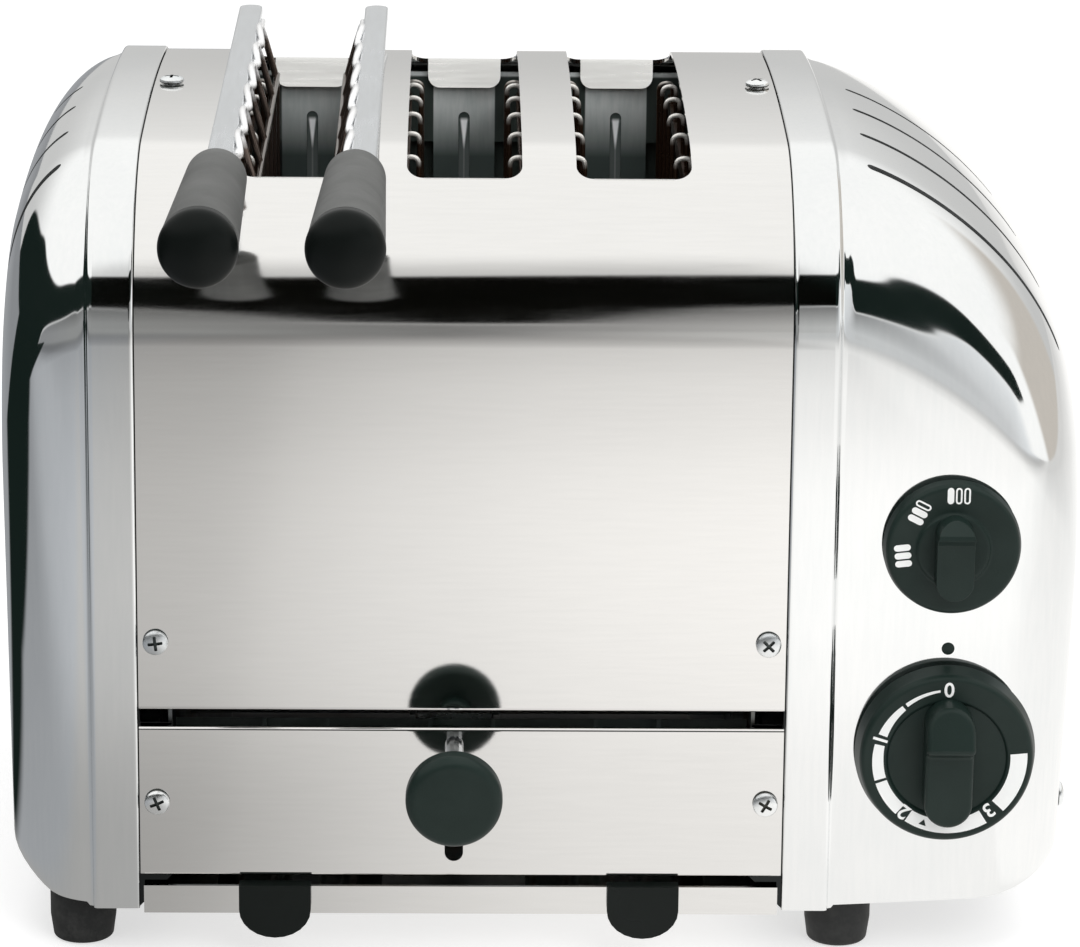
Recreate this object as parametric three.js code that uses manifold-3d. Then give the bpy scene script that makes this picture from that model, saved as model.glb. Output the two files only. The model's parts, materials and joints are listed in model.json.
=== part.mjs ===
// Three-slot toaster with a sandwich cage in its left slot, in millimetres.
// X runs to the right, Y from the front face to the back and Z up from the feet.
import * as THREE from 'three';
import { mergeVertices } from 'three/addons/utils/BufferGeometryUtils.js';
import Module from 'manifold-3d';

const wasm = await Module();
wasm.setup();

// Fits and cuts
const seat = 0.3; // gap between pieces that rest on each other
const slack = 0.6; // running clearance round what moves
const overrun = 4; // how far a cutter runs past what it cuts
const sheet = 1; // thickness of the formed steel sheet

// Body section, seen from the side
const bodyDepth = 210;
const bodyHeight = 220;
const shoulderRadius = 46.7;
const crownRadius = 737;

// Steel cover and lower panels
const coverWidth = 173.4;
const coverFoot = 70.1;
const coverHem = 6;
const lowerPanelTop = 65.5;
const lowerPanelFoot = 23.1;
const lowerPanelHem = 8;

// Bread slots
const slotPitch = 45.1;
const slotWidth = 30.7;
const slotLength = 163;
const slotCornerRadius = 4.5;
const tabWidth = 21.4;
const tabDrop = 8.5;
const tabCornerRadius = 3.5;
const slotPlaceShares = [-1, 0, 1];

// End castings
const bandWidth = 12.5;
const bandProud = 0.8;
const bandFoot = 13.8;
const domeStep = 1.5;
const domeWall = 3;
const domeFoot = 14.6;
const domeFootRise = 3.1;
const domeFootRound = 11;
const domeCornerRadius = 22;
const domeCrownRadius = 420;
const flangeWidth = 9;
const flangeWall = 2.5;
const rightReach = 167.6;
const rightSideHeight = 137.4;
const leftReach = 124.3;
const leftSideHeight = 166;
const rightDomeShares = { rise: 1.395, fall: 2.185, taper: 0.071 };
const leftDomeShares = { rise: 1.75, fall: 3.2, taper: 0.08 };

// Vent slots in the castings
const ventPitch = 28;
const ventFirst = 37;
const ventWidth = 2.2;
const ventFloor = 150;
const ventStart = 8.5;
const rightVentReachShares = [0.91, 0.87, 0.815, 0.755];
const leftVentReachShares = [0.93, 0.86, 0.78, 0.68];

// Base plate, tray rails and feet
const basePlateTop = 22.8;
const basePlateThickness = 1.2;
const basePlateInset = 12;
const railDepth = 9.7;
const railLip = 5;
const crumbOpeningWidth = 136;
const crumbOpeningLength = 150;
const footRadius = 9;
const footTipRadius = 8.2;
const footSpread = 103.5;
const footSetback = 16;
const footSpigotRadius = 3;
const footSpigotHeight = 4;

// Crumb tray and its grips
const trayWidth = 168.8;
const trayDepth = 196;
const trayFloor = 13.2;
const trayWallHeight = 7;
const trayLipWidth = 171.6;
const trayLipFoot = 12.7;
const trayLipTop = 20.5;
const trayGripWidth = 19.4;
const trayGripFoot = 6.8;
const trayGripTop = 21.6;
const trayGripThickness = 3;
const trayGripLeftX = -50.3;
const trayGripRightX = 49.2;
const trayGripRound = 8;

// Toasting chamber
const sidePlateX = 78;
const sidePlateWindowWidth = 11.6;
const sidePlateVentWidth = 5;
const sidePlateVentLength = 60;
const sidePlateVentPitch = 30;
const sidePlateVentCount = 4;
const sidePlateVentFoot = 110;
const endPlateSetback = 22;
const endBayWidth = 18.2;
const endBayDepth = 4;
const endPlateFoot = 68;
const endBayTop = 187;
const endPlateTopGap = 1.5;
const endSlotWidth = 3.4;
const endSlotLength = 46;
const endSlotTop = 195;

// Heating elements
const elementPlaceShares = [-1.5, -0.5, 0.5, 1.5];
const elementThickness = 1.2;
const elementFoot = 70;
const elementHeight = 114;
const ribbonCount = 5;
const ribbonWidth = 2;
const ribbonProud = 0.35;
const ribbonMargin = 9;

// Bread guard wires
const guardCount = 7;
const guardPitch = 24.5;
const guardWireRadius = 0.8;
const guardSides = 4;
const guardInner = 12.4;
const guardOuter = 16.4;
const guardDrop = 8;
const guardHookDrop = 11;
const guardFoot = 72;
const guardStripThickness = 2;
const guardStripHeight = 5;

// Bread racks and their lifting beam
const liftTravel = 28;
const rackFoot = 66;
const rackWidth = 17;
const rackLength = 150;
const rackLipHeight = 4;
const rackThickness = 1.2;
const rackHoleCount = 5;
const rackHoleWidth = 9;
const rackHoleLength = 18;
const beamFoot = 36;
const beamHeight = 4;
const beamDepth = 10;
const beamPostWidth = 8;
const beamPadDepth = 4;
const beamPadDrop = 3;
const beamPadWidth = 16;
const bushRadius = 5;
const rodRadius = 2.5;
const rodX = 85;
const rodTop = 92.7;
const lugHeight = 2;

// Ejector, its rocker and their bracket
const ejectorX = -2;
const ejectorSlotWidth = 5;
const ejectorSlotFoot = 27.5;
const ejectorSlotTop = 63.3;
const ejectorStemZ = 60.4;
const ejectorStemRadius = 2.1;
const ejectorKnobZ = 58.3;
const ejectorKnobY = -37;
const ejectorKnobRadius = 12.75;
const ejectorKnobLength = 8;
const ejectorKnobRound = 3;
const ejectorCrownRise = 0.6;
const ejectorCollarRadius = 4.6;
const ejectorCollarLength = 6;
const carriageWidth = 20;
const carriageFront = 2.2;
const carriageBlockDepth = 6.3;
const carriageDepth = 14.8;
const carriageTop = 64;
const carriageHeight = 8.2;
const carriageShelf = 3;
const rockerWidth = 9;
const rockerTipRadius = 2.5;
const rockerWebThickness = 3.2;
const rockerTipY = 14;
const rockerGap = 0.4;
const rockerHubRadius = 5;
const pivotRadius = 2;
const bracketFront = 9.4;
const bracketBack = 70;
const bracketTop = 66;
const bracketSheet = 1.5;

// Timer
const timerX = 130.1;
const timerZ = 59.7;
const timerSkirtRadius = 24.4;
const timerFaceRadius = 22.6;
const timerDiscRadius = 16.3;
const timerSkirtHeight = 8.3;
const timerFaceStep = 0.8;
const timerGripWidth = 12;
const timerGripLength = 34;
const timerGripHeight = 8;
const timerHumpHeight = 3.5;
const timerPlateSize = 36;
const timerPlateThickness = 1.5;
const timerFrontPlateY = 8;
const timerCaseLength = 24;
const timerDrumRadius = 15;
const timerPillarRadius = 2.5;

// Selector switch
const selectorX = 130.3;
const selectorZ = 117.3;
const selectorSkirtRadius = 18.5;
const selectorFaceRadius = 17.4;
const selectorSkirtHeight = 5;
const selectorHubRadius = 9;
const selectorHubHeight = 1.5;
const selectorGripWidth = 10;
const selectorGripLength = 21;
const selectorGripHeight = 9;
const selectorCaseWidth = 28;
const selectorCaseDepth = 18;
const selectorTagLength = 8;

// Shafts of the two controls
const shaftRadius = 3;
const shaftCollarRadius = 4.4;
const knobStandoff = 0.8;
const knobBoreDepth = 5;
const knobEdge = 1;

// Screws
const screwHeadRadius = 3.5;
const screwCrownRadius = 2.6;
const screwHeadHeight = 2.2;
const screwShankRadius = 1.8;
const screwHoleRadius = 2.3;
const screwLength = 7;
const screwSegments = 8;
const frontScrewX = 82;
const upperScrewZ = 89.4;
const lowerScrewZ = 44.2;
const sideScrewZ = 37;
const sideScrewY = 30;

// Cord inlet bush
const bushX = 130;
const bushZ = 46;
const bushFlangeRadius = 9;
const bushBodyRadius = 6.5;
const bushBoreRadius = 3.8;
const bushFlangeThickness = 3;
const bushBodyLength = 9;

// Sandwich cage
const cageX = -slotPitch;
const cageBarSpread = 18.2;
const cageBarWidth = 8;
const cageBarThickness = 2.4;
const cageBarFront = -46;
const cageBarBack = 211;
const cageWireRadius = 1;
const cageWireSides = 4;
const cageWireCount = 6;
const cageGridInset = 10.2;
const cageGridTop = 213;
const cageGridFront = 30;
const cageGridBack = 180;
const cageCrossCount = 2;
const cageCrossThickness = 2.2;
const cageHingeZ = 104;
const cageRodRadius = 1.5;
const cageKnuckleRadius = 3;
const cageKnuckleLength = 12;
const cageHandleTipRadius = 10.25;
const cageHandleNeckRadius = 7.5;
const cageHandleLength = 86;
const cageHandleBack = -20;
const cageHandleSide = -1.2;
const cageHandleLift = 1;
const cageHandleRound = 2;

// Facets
const shoulderSteps = 6;
const hollowSteps = 3;
const crownSteps = 2;
const domeStations = 9;
const hollowStations = 5;
const roundSteps = 16;
const smallSteps = 10;
const footSteps = 12;
const dialSteps = 20;
const facetTolerance = 0.06; // how far a face may move when small facets are merged

const bodyMiddle = bodyDepth / 2;
const coverHalf = coverWidth / 2;
const bandStart = coverHalf + seat;
const domeStart = bandStart + bandWidth;
const hemHalf = bandStart - flangeWidth - slack;

// Materials
const finishes = {
  castMetal: { color: 0xd6d8da, roughness: 0.12, metalness: 1 },
  steel: { color: 0xcfd0cf, roughness: 0.08, metalness: 1 },
  plainSteel: { color: 0x8e9496, roughness: 0.4, metalness: 1 },
  wire: { color: 0xb9b4ae, roughness: 0.3, metalness: 1 },
  mica: { color: 0x6a4a33, roughness: 0.7, metalness: 0 },
  plastic: { color: 0x1d2324, roughness: 0.45, metalness: 0 },
  handlePlastic: { color: 0x3c4041, roughness: 0.6, metalness: 0 },
  rubber: { color: 0x141617, roughness: 0.85, metalness: 0 },
  zinc: { color: 0xc3c8ca, roughness: 0.3, metalness: 1 },
  casePlastic: { color: 0x2a2c2e, roughness: 0.6, metalness: 0 },
};

// A mesh with its shared corners merged
function mergedPosition(geometry) {
  const bare = geometry.clone();
  bare.deleteAttribute('normal');
  bare.deleteAttribute('uv');
  return mergeVertices(bare);
}

// Booleans on closed meshes
function toSolid(geometry) {
  const merged = mergedPosition(geometry);
  const solid = new wasm.Manifold(new wasm.Mesh({
    numProp: 3,
    vertProperties: new Float32Array(merged.attributes.position.array),
    triVerts: new Uint32Array(merged.index.array),
  }));
  return solid;
}

function toGeometry(solid) {
  const mesh = solid.simplify(facetTolerance).getMesh();
  const geometry = new THREE.BufferGeometry();
  geometry.setAttribute('position', new THREE.BufferAttribute(mesh.vertProperties, 3));
  geometry.setIndex(new THREE.BufferAttribute(mesh.triVerts, 1));
  geometry.computeVertexNormals();
  return geometry;
}

function join(...geometries) {
  return toGeometry(geometries.map(toSolid).reduce((sum, next) => sum.add(next)));
}

function cut(geometry, ...cutters) {
  if (cutters.length === 0) return geometry;
  const tools = cutters.map(toSolid).reduce((sum, next) => sum.add(next));
  return toGeometry(toSolid(geometry).subtract(tools));
}

// Turns every face of a closed mesh over
function turnedOver(geometry) {
  const copy = geometry.index ? geometry.clone() : mergeVertices(geometry);
  const index = Array.from(copy.index.array);
  for (let i = 0; i < index.length; i += 3) [index[i], index[i + 1]] = [index[i + 1], index[i]];
  copy.setIndex(index);
  copy.computeVertexNormals();
  return copy;
}

function mirroredX(geometry) {
  return turnedOver(geometry.clone().applyMatrix4(new THREE.Matrix4().makeScale(-1, 1, 1)));
}

// Sum of the signed volumes under the faces, positive where they point out
function signedVolume(geometry) {
  const { position } = geometry.attributes;
  const { index } = geometry;
  const count = index ? index.count : position.count;
  const corners = [new THREE.Vector3(), new THREE.Vector3(), new THREE.Vector3()];
  let volume = 0;
  for (let i = 0; i < count; i += 3) {
    corners.forEach((corner, k) => {
      corner.fromBufferAttribute(position, index ? index.getX(i + k) : i + k);
    });
    volume += corners[0].dot(corners[1].clone().cross(corners[2]));
  }
  return volume;
}

// Makes the faces of a closed mesh point out
function outward(geometry) {
  return signedVolume(geometry) < 0 ? turnedOver(geometry) : geometry;
}

// Plain shapes placed by their limits
function box(x0, x1, y0, y1, z0, z1) {
  const shape = new THREE.BoxGeometry(x1 - x0, y1 - y0, z1 - z0);
  return shape.translate((x0 + x1) / 2, (y0 + y1) / 2, (z0 + z1) / 2);
}

const axes = {
  x: new THREE.Vector3(1, 0, 0),
  y: new THREE.Vector3(0, 1, 0),
  z: new THREE.Vector3(0, 0, 1),
};

// An outline in Y and Z drawn out along X
function extrudeX(shape, x0, x1, curveSegments = smallSteps) {
  const geometry = new THREE.ExtrudeGeometry(shape, { depth: x1 - x0, bevelEnabled: false, curveSegments });
  const basis = new THREE.Matrix4().makeBasis(axes.y, axes.z, axes.x);
  return geometry.applyMatrix4(basis).translate(x0, 0, 0);
}

// An outline in X and Z drawn out along Y
function extrudeY(shape, y0, y1, curveSegments = smallSteps) {
  const geometry = new THREE.ExtrudeGeometry(shape, { depth: y1 - y0, bevelEnabled: false, curveSegments });
  const basis = new THREE.Matrix4().makeBasis(axes.x, axes.z, axes.y.clone().negate());
  return geometry.applyMatrix4(basis).translate(0, y1, 0);
}

// An outline in X and Y drawn out along Z
function extrudeZ(shape, z0, z1, curveSegments = smallSteps) {
  const geometry = new THREE.ExtrudeGeometry(shape, { depth: z1 - z0, bevelEnabled: false, curveSegments });
  return geometry.translate(0, 0, z0);
}

function polygon(points) {
  return new THREE.Shape(points.map(([a, b]) => new THREE.Vector2(a, b)));
}

function roundedRect(x0, x1, y0, y1, radius) {
  const shape = new THREE.Shape();
  shape.absarc(x1 - radius, y0 + radius, radius, -Math.PI / 2, 0);
  shape.absarc(x1 - radius, y1 - radius, radius, 0, Math.PI / 2);
  shape.absarc(x0 + radius, y1 - radius, radius, Math.PI / 2, Math.PI);
  shape.absarc(x0 + radius, y0 + radius, radius, Math.PI, 1.5 * Math.PI);
  shape.closePath();
  return shape;
}

function cylinderX(radius, x0, x1, y, z, segments = smallSteps) {
  const shape = new THREE.CylinderGeometry(radius, radius, x1 - x0, segments);
  return shape.rotateZ(-Math.PI / 2).translate((x0 + x1) / 2, y, z);
}

function cylinderY(radius, y0, y1, x, z, segments = smallSteps) {
  const shape = new THREE.CylinderGeometry(radius, radius, y1 - y0, segments);
  return shape.translate(x, (y0 + y1) / 2, z);
}

function cylinderZ(radius, z0, z1, x, y, segments = smallSteps) {
  const shape = new THREE.CylinderGeometry(radius, radius, z1 - z0, segments);
  return shape.rotateX(Math.PI / 2).translate(x, y, (z0 + z1) / 2);
}

// A turned piece whose axis is Y, drawn as radius and height above its base
function turned(profile, segments = roundSteps) {
  return outward(mergedPosition(new THREE.LatheGeometry(profile.map(([r, h]) => new THREE.Vector2(r, h)), segments)));
}

// A wire bent through a list of points
class BentWire extends THREE.Curve {
  constructor(points) {
    super();
    this.points = points;
  }

  getPointAt(share) {
    return this.points[Math.round(share * (this.points.length - 1))].clone();
  }

  getTangentAt(share) {
    const last = this.points.length - 1;
    const here = Math.round(share * last);
    const before = this.points[Math.max(here - 1, 0)];
    const after = this.points[Math.min(here + 1, last)];
    return after.clone().sub(before).normalize();
  }
}

function wire(points, radius, sides) {
  const section = new THREE.Shape();
  for (let i = 0; i < sides; i += 1) {
    const angle = (2 * Math.PI * i) / sides;
    section[i === 0 ? 'moveTo' : 'lineTo'](radius * Math.cos(angle), radius * Math.sin(angle));
  }
  section.closePath();
  const swept = new THREE.ExtrudeGeometry(section, {
    steps: points.length - 1,
    extrudePath: new BentWire(points),
    bevelEnabled: false,
  });
  return outward(mergedPosition(swept));
}

// Body section: Y from the middle and Z, from the front foot over the top to the rear foot
function sectionOutline({ half, top, shoulder, crown, feet, steps }) {
  const lean = Math.asin((half - shoulder) / (crown - shoulder));
  const shoulderZ = top - crown + (crown - shoulder) * Math.cos(lean);
  const front = feet.map((z) => [-half, z]);
  for (let i = 0; i <= steps; i += 1) {
    const angle = Math.PI - ((Math.PI / 2 - lean) * i) / steps;
    front.push([shoulder - half + shoulder * Math.cos(angle), shoulderZ + shoulder * Math.sin(angle)]);
  }
  for (let i = 1; i < crownSteps; i += 1) {
    const angle = lean * (1 - i / crownSteps);
    front.push([-crown * Math.sin(angle), top - crown + crown * Math.cos(angle)]);
  }
  const rear = front.map(([y, z]) => [-y, z]).reverse();
  return [...front, [0, top], ...rear];
}

// The plain body section, shrunk by an inset
function bodyOutline(inset, foot) {
  const outline = sectionOutline({
    half: bodyMiddle - inset,
    top: bodyHeight - inset,
    shoulder: shoulderRadius - inset,
    crown: crownRadius - inset,
    feet: [foot],
    steps: shoulderSteps,
  });
  return outline.map(([y, z]) => [y + bodyMiddle, z]);
}

// Height of the body section, shrunk by an inset, at a depth Y
function roofHeight(y, inset) {
  const outline = bodyOutline(inset, 0);
  const next = outline.findIndex(([py]) => py >= y);
  const [y0, z0] = outline[Math.max(next - 1, 0)];
  const [y1, z1] = outline[next];
  return y1 === y0 ? z1 : z0 + ((z1 - z0) * (y - y0)) / (y1 - y0);
}

// Sheet that follows the body section between two X limits
function bentShell(outerInset, thickness, foot, x0, x1) {
  const outer = bodyOutline(outerInset, foot);
  const inner = bodyOutline(outerInset + thickness, foot).reverse();
  return extrudeX(polygon([...outer, ...inner]), x0, x1);
}

function solidSection(inset, foot, x0, x1) {
  return extrudeX(polygon(bodyOutline(inset, foot)), x0, x1);
}

// Tab turned down at a slot's end, with rounded lower corners
function tabOutline(x, top) {
  const half = tabWidth / 2;
  const inner = half - tabCornerRadius;
  const bend = top - tabDrop + tabCornerRadius;
  const outline = new THREE.Shape();
  outline.moveTo(x - half, top);
  outline.absarc(x - inner, bend, tabCornerRadius, Math.PI, 1.5 * Math.PI);
  outline.absarc(x + inner, bend, tabCornerRadius, 1.5 * Math.PI, 2 * Math.PI);
  outline.lineTo(x + half, top);
  outline.closePath();
  return outline;
}

// Steel cover over the top with its three slots and their turned-down tabs
function bodyCover() {
  const shell = bentShell(0, sheet, coverFoot, -coverHalf, coverHalf);
  const hems = [0, bodyDepth - coverHem].map((y) => (
    box(-hemHalf, hemHalf, y, y + coverHem, coverFoot, coverFoot + sheet)
  ));
  const slotY0 = bodyMiddle - slotLength / 2;
  const slotY1 = bodyMiddle + slotLength / 2;
  const slots = slotPlaceShares.map((place) => {
    const x = place * slotPitch;
    const outline = roundedRect(x - slotWidth / 2, x + slotWidth / 2, slotY0, slotY1, slotCornerRadius);
    return extrudeZ(outline, rackFoot, bodyHeight + overrun, 4);
  });
  const tabRoof = roofHeight(slotY0, sheet / 2);
  const tabs = slotPlaceShares.flatMap((place) => {
    const tab = extrudeY(tabOutline(place * slotPitch, tabRoof), 0, sheet, 3);
    return [slotY0 - sheet / 2, slotY1 - sheet / 2].map((y) => tab.clone().translate(0, y, 0));
  });
  const screwHoles = [-frontScrewX, frontScrewX].flatMap((x) => [
    cylinderY(screwHoleRadius, -overrun, bodyDepth + overrun, x, upperScrewZ, screwSegments),
    cylinderZ(screwHoleRadius, bodyHeight - overrun, bodyHeight + overrun, x, bodyMiddle, screwSegments),
  ]);
  return join(cut(join(shell, ...hems), ...slots, ...screwHoles), ...tabs);
}

// Lower panel with a folded lip at its top and bottom
function lowerPanel(y, inward) {
  const edge = y + inward * sheet;
  const hem = y + inward * lowerPanelHem;
  const [y0, y1] = [Math.min(y, edge), Math.max(y, edge)];
  const [h0, h1] = [Math.min(y, hem), Math.max(y, hem)];
  const plate = box(-coverHalf, coverHalf, y0, y1, lowerPanelFoot, lowerPanelTop);
  const hems = [lowerPanelFoot, lowerPanelTop - sheet].map((z) => box(-hemHalf, hemHalf, h0, h1, z, z + sheet));
  const screwHoles = [-frontScrewX, frontScrewX].map((x) => (
    cylinderY(screwHoleRadius, y - overrun, y + overrun, x, lowerScrewZ, screwSegments)
  ));
  return cut(join(plate, ...hems), ...screwHoles);
}

function lowerFrontPanel() {
  const half = ejectorSlotWidth / 2;
  const slot = roundedRect(ejectorX - half, ejectorX + half, ejectorSlotFoot, ejectorSlotTop, half);
  return cut(lowerPanel(0, 1), extrudeY(slot, -overrun, overrun, 5));
}

// Section of a dome at a share of the way from the band to its outer end
function domeSection(dome, inset, share) {
  const { reach, sideHeight, shares } = dome;
  const x = domeStart + (reach - inset - domeStart) * share;
  const shoulderTop = bodyHeight - domeStep - sideHeight;
  const top = sideHeight + shoulderTop * Math.max(0, 1 - share ** shares.rise) ** (1 / shares.fall) - inset;
  const corner = domeCornerRadius - inset;
  const past = Math.max(0, corner - (reach - inset - x));
  const cornerInset = corner - Math.sqrt(Math.max(0, corner * corner - past * past));
  const foot = domeFoot + domeFootRise * share;
  const bend = 1 / crownRadius + share * (1 / domeCrownRadius - 1 / crownRadius);
  return { x, top, half: bodyMiddle - domeStep - inset - cornerInset, crown: 1 / bend - inset, foot };
}

// Shapes the dome's outer wall: it leans in towards the foot and turns under at its lower edge
function domeX(dome, { share, x, z, roundTop, footRound }) {
  const lean = dome.shares.taper * Math.max(0, (dome.sideHeight - z) / dome.sideHeight);
  const below = Math.min(Math.max(roundTop - z, 0), footRound);
  const under = footRound - Math.sqrt(footRound ** 2 - below ** 2);
  return domeStart + (x - domeStart) * (1 - lean) - under * share ** 3;
}

// Closed loft through the dome's sections
function domeSolid(dome, { inset, footRound, footDrop, stations, steps }) {
  const footRoundShares = [0, 0.14, 0.45, 1];
  const rings = [];
  for (let i = 0; i <= stations; i += 1) {
    const share = Math.sin((Math.PI / 2) * (i / stations));
    const section = domeSection(dome, inset, share);
    const roundTop = section.foot + domeFootRound;
    const feet = footRoundShares.map((step) => roundTop - footRound * (1 - step));
    if (footDrop > 0) feet.unshift(section.foot - footDrop);
    const { half, top, crown } = section;
    const outline = sectionOutline({ half, top, shoulder: shoulderRadius - inset, crown, feet, steps });
    rings.push(outline.map(([y, z]) => (
      new THREE.Vector3(domeX(dome, { share, x: section.x, z, roundTop, footRound }), y + bodyMiddle, z)
    )));
  }
  return loft(rings);
}

// Joins rings of equal length, each alike front and back, into one closed body
function loft(rings) {
  const count = rings[0].length;
  const positions = rings.flatMap((ring) => ring.flatMap((point) => point.toArray()));
  const index = [];
  for (let i = 0; i + 1 < rings.length; i += 1) {
    for (let j = 0; j < count; j += 1) {
      const a = i * count + j;
      const b = i * count + ((j + 1) % count);
      index.push(a, b, a + count, b, b + count, a + count);
    }
  }
  const last = (rings.length - 1) * count;
  for (let j = 0; j + 1 < count - 1 - j; j += 1) {
    const across = count - 1 - j;
    [[j, across, j + 1], [across, across - 1, j + 1]].forEach(([a, b, c]) => {
      if (b === c) return;
      index.push(a, b, c, last + a, last + c, last + b);
    });
  }
  const geometry = new THREE.BufferGeometry();
  geometry.setAttribute('position', new THREE.Float32BufferAttribute(positions, 3));
  geometry.setIndex(index);
  return outward(geometry);
}

// X of the dome's outer wall at a height
function sideWallX(dome, z) {
  const lean = dome.shares.taper * Math.max(0, (dome.sideHeight - z) / dome.sideHeight);
  return domeStart + (dome.reach - domeStart) * (1 - lean);
}

const outerLoft = {
  inset: 0, footRound: domeFootRound, footDrop: 0, stations: domeStations, steps: shoulderSteps,
};
const innerLoft = {
  inset: domeWall, footRound: domeFootRound - domeWall + sheet, footDrop: overrun,
  stations: hollowStations, steps: hollowSteps,
};
const rightDome = {
  reach: rightReach, sideHeight: rightSideHeight, shares: rightDomeShares, ventReachShares: rightVentReachShares,
};
const leftDome = {
  reach: leftReach, sideHeight: leftSideHeight, shares: leftDomeShares, ventReachShares: leftVentReachShares,
};

// End casting: inner flange under the cover, raised band and hollow dome, built on the right
function endCasting(dome, holes) {
  const flangeInset = sheet + seat;
  const flange = solidSection(flangeInset, lowerPanelFoot, bandStart - flangeWidth, bandStart + bandWidth / 2);
  const band = solidSection(-bandProud, bandFoot, bandStart, domeStart);
  const outer = join(band, flange, domeSolid(dome, outerLoft));
  const bandInset = flangeInset + flangeWall;
  const flangeDepth = bandInset + sheet;
  const hollow = solidSection(bandInset, -overrun, bandStart - flangeWidth - overrun, domeStart + sheet);
  const vents = dome.ventReachShares.map((share, i) => {
    const y = ventFirst + i * ventPitch;
    const end = domeStart + (dome.reach - domeStart) * share;
    return box(domeStart + ventStart, end, y - ventWidth / 2, y + ventWidth / 2, ventFloor, bodyHeight + overrun);
  });
  const screwX = frontScrewX;
  const screwHoles = [
    cylinderY(screwHoleRadius, -overrun, bodyDepth + overrun, screwX, upperScrewZ, screwSegments),
    cylinderY(screwHoleRadius, -overrun, bodyDepth + overrun, screwX, lowerScrewZ, screwSegments),
    cylinderZ(screwHoleRadius, bodyHeight - 2 * overrun, bodyHeight + overrun, screwX, bodyMiddle, screwSegments),
  ];
  const gapNotches = [-overrun, bodyDepth - flangeDepth].map((y) => (
    box(bandStart - flangeWidth - overrun, bandStart - seat, y, y + flangeDepth + overrun, lowerPanelTop, coverFoot)
  ));
  const footWells = [footSetback, bodyDepth - footSetback].map((y) => (
    cylinderZ(footRadius + 2 * seat, -overrun, basePlateTop, footSpread, y, footSteps)
  ));
  const cutters = [
    hollow, domeSolid(dome, innerLoft), ...vents, ...screwHoles, ...gapNotches, ...footWells, ...holes,
  ];
  return cut(outer, ...cutters);
}

function rightCasting() {
  const wallX = sideWallX(rightDome, sideScrewZ);
  return endCasting(rightDome, [
    cylinderY(shaftCollarRadius + slack, -overrun, domeStep + domeWall + overrun, timerX, timerZ),
    cylinderY(shaftCollarRadius + slack, -overrun, domeStep + domeWall + overrun, selectorX, selectorZ),
    cylinderY(
      bushBodyRadius + seat, bodyDepth - domeStep - domeWall - overrun, bodyDepth + overrun, bushX, bushZ, roundSteps,
    ),
    cylinderX(screwHoleRadius, wallX - domeWall - overrun, wallX + overrun, sideScrewY, sideScrewZ, screwSegments),
  ]);
}

// Base plate with the rails that carry the crumb tray
function basePlate() {
  const foot = basePlateTop - basePlateThickness;
  const left = -(leftReach - basePlateInset);
  const right = rightReach - basePlateInset;
  const inset = domeStep + domeWall + slack;
  const wing = roundedRect(left, right, inset, bodyDepth - inset, domeCornerRadius - inset);
  const railX = trayWidth / 2 + slack;
  const rails = [-1, 1].map((side) => {
    const inner = side * railX;
    const outer = side * (railX + basePlateThickness);
    const lip = side * (railX - railLip);
    const bottom = foot - railDepth;
    return extrudeY(polygon([
      [inner, foot + sheet / 2], [outer, foot + sheet / 2], [outer, bottom], [lip, bottom],
      [lip, bottom + sheet], [inner, bottom + sheet],
    ]), inset, bodyDepth - inset);
  });
  const crumbOpening = roundedRect(
    -crumbOpeningWidth / 2, crumbOpeningWidth / 2,
    bodyMiddle - crumbOpeningLength / 2, bodyMiddle + crumbOpeningLength / 2, slotCornerRadius,
  );
  const bridge = bracketBack + overrun;
  const bridgeHalf = carriageWidth;
  const kept = box(ejectorX - bridgeHalf, ejectorX + bridgeHalf, 0, bridge, foot, basePlateTop);
  const opening = cut(extrudeZ(crumbOpening, foot - overrun, basePlateTop + overrun, 3), kept);
  const plate = cut(extrudeZ(wing, foot, basePlateTop, 4), opening);
  const spigots = footPlaces().map(([x, y]) => (
    cylinderZ(footSpigotRadius + seat, foot - overrun, basePlateTop + overrun, x, y, screwSegments)
  ));
  return cut(join(plate, ...rails), ...spigots);
}

function footPlaces() {
  return [-1, 1].flatMap((side) => [
    [side * footSpread, footSetback],
    [side * footSpread, bodyDepth - footSetback],
  ]);
}

// Rubber foot with its push-in spigot
function rubberFoot(x, y) {
  const top = basePlateTop - basePlateThickness - seat;
  const profile = [
    [0, 0], [footTipRadius, 0], [footRadius, top / 3], [footRadius, top],
    [footSpigotRadius, top], [footSpigotRadius, top + footSpigotHeight], [0, top + footSpigotHeight],
  ];
  return turned(profile, footSteps).rotateX(Math.PI / 2).translate(x, y, 0);
}

// Crumb tray: a shallow pan with a front lip
function crumbTray() {
  const half = trayWidth / 2;
  const front = sheet;
  const pan = box(-half, half, -sheet / 2, front + trayDepth, trayFloor, trayFloor + trayWallHeight);
  const hollow = box(
    -half + sheet, half - sheet, front, front + trayDepth - sheet,
    trayFloor + sheet, trayFloor + trayWallHeight + overrun,
  );
  const lip = box(-trayLipWidth / 2, trayLipWidth / 2, -sheet, 0, trayLipFoot, trayLipTop);
  return join(cut(pan, hollow), lip);
}

// Plastic grip that hooks over the tray's lip
function trayGrip(x) {
  const half = trayGripWidth / 2;
  const back = -sheet - seat;
  const bend = trayGripFoot + trayGripRound;
  const outline = new THREE.Shape();
  outline.moveTo(x - half, trayGripTop);
  outline.lineTo(x - half, bend);
  outline.absellipse(x, bend, half, trayGripRound, Math.PI, 2 * Math.PI);
  outline.lineTo(x + half, trayGripTop);
  outline.closePath();
  const flap = extrudeY(outline, back - trayGripThickness, back, 6);
  const hook = box(x - half, x + half, back - sheet, seat, trayLipTop + seat, trayGripTop);
  return join(flap, hook);
}

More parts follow.
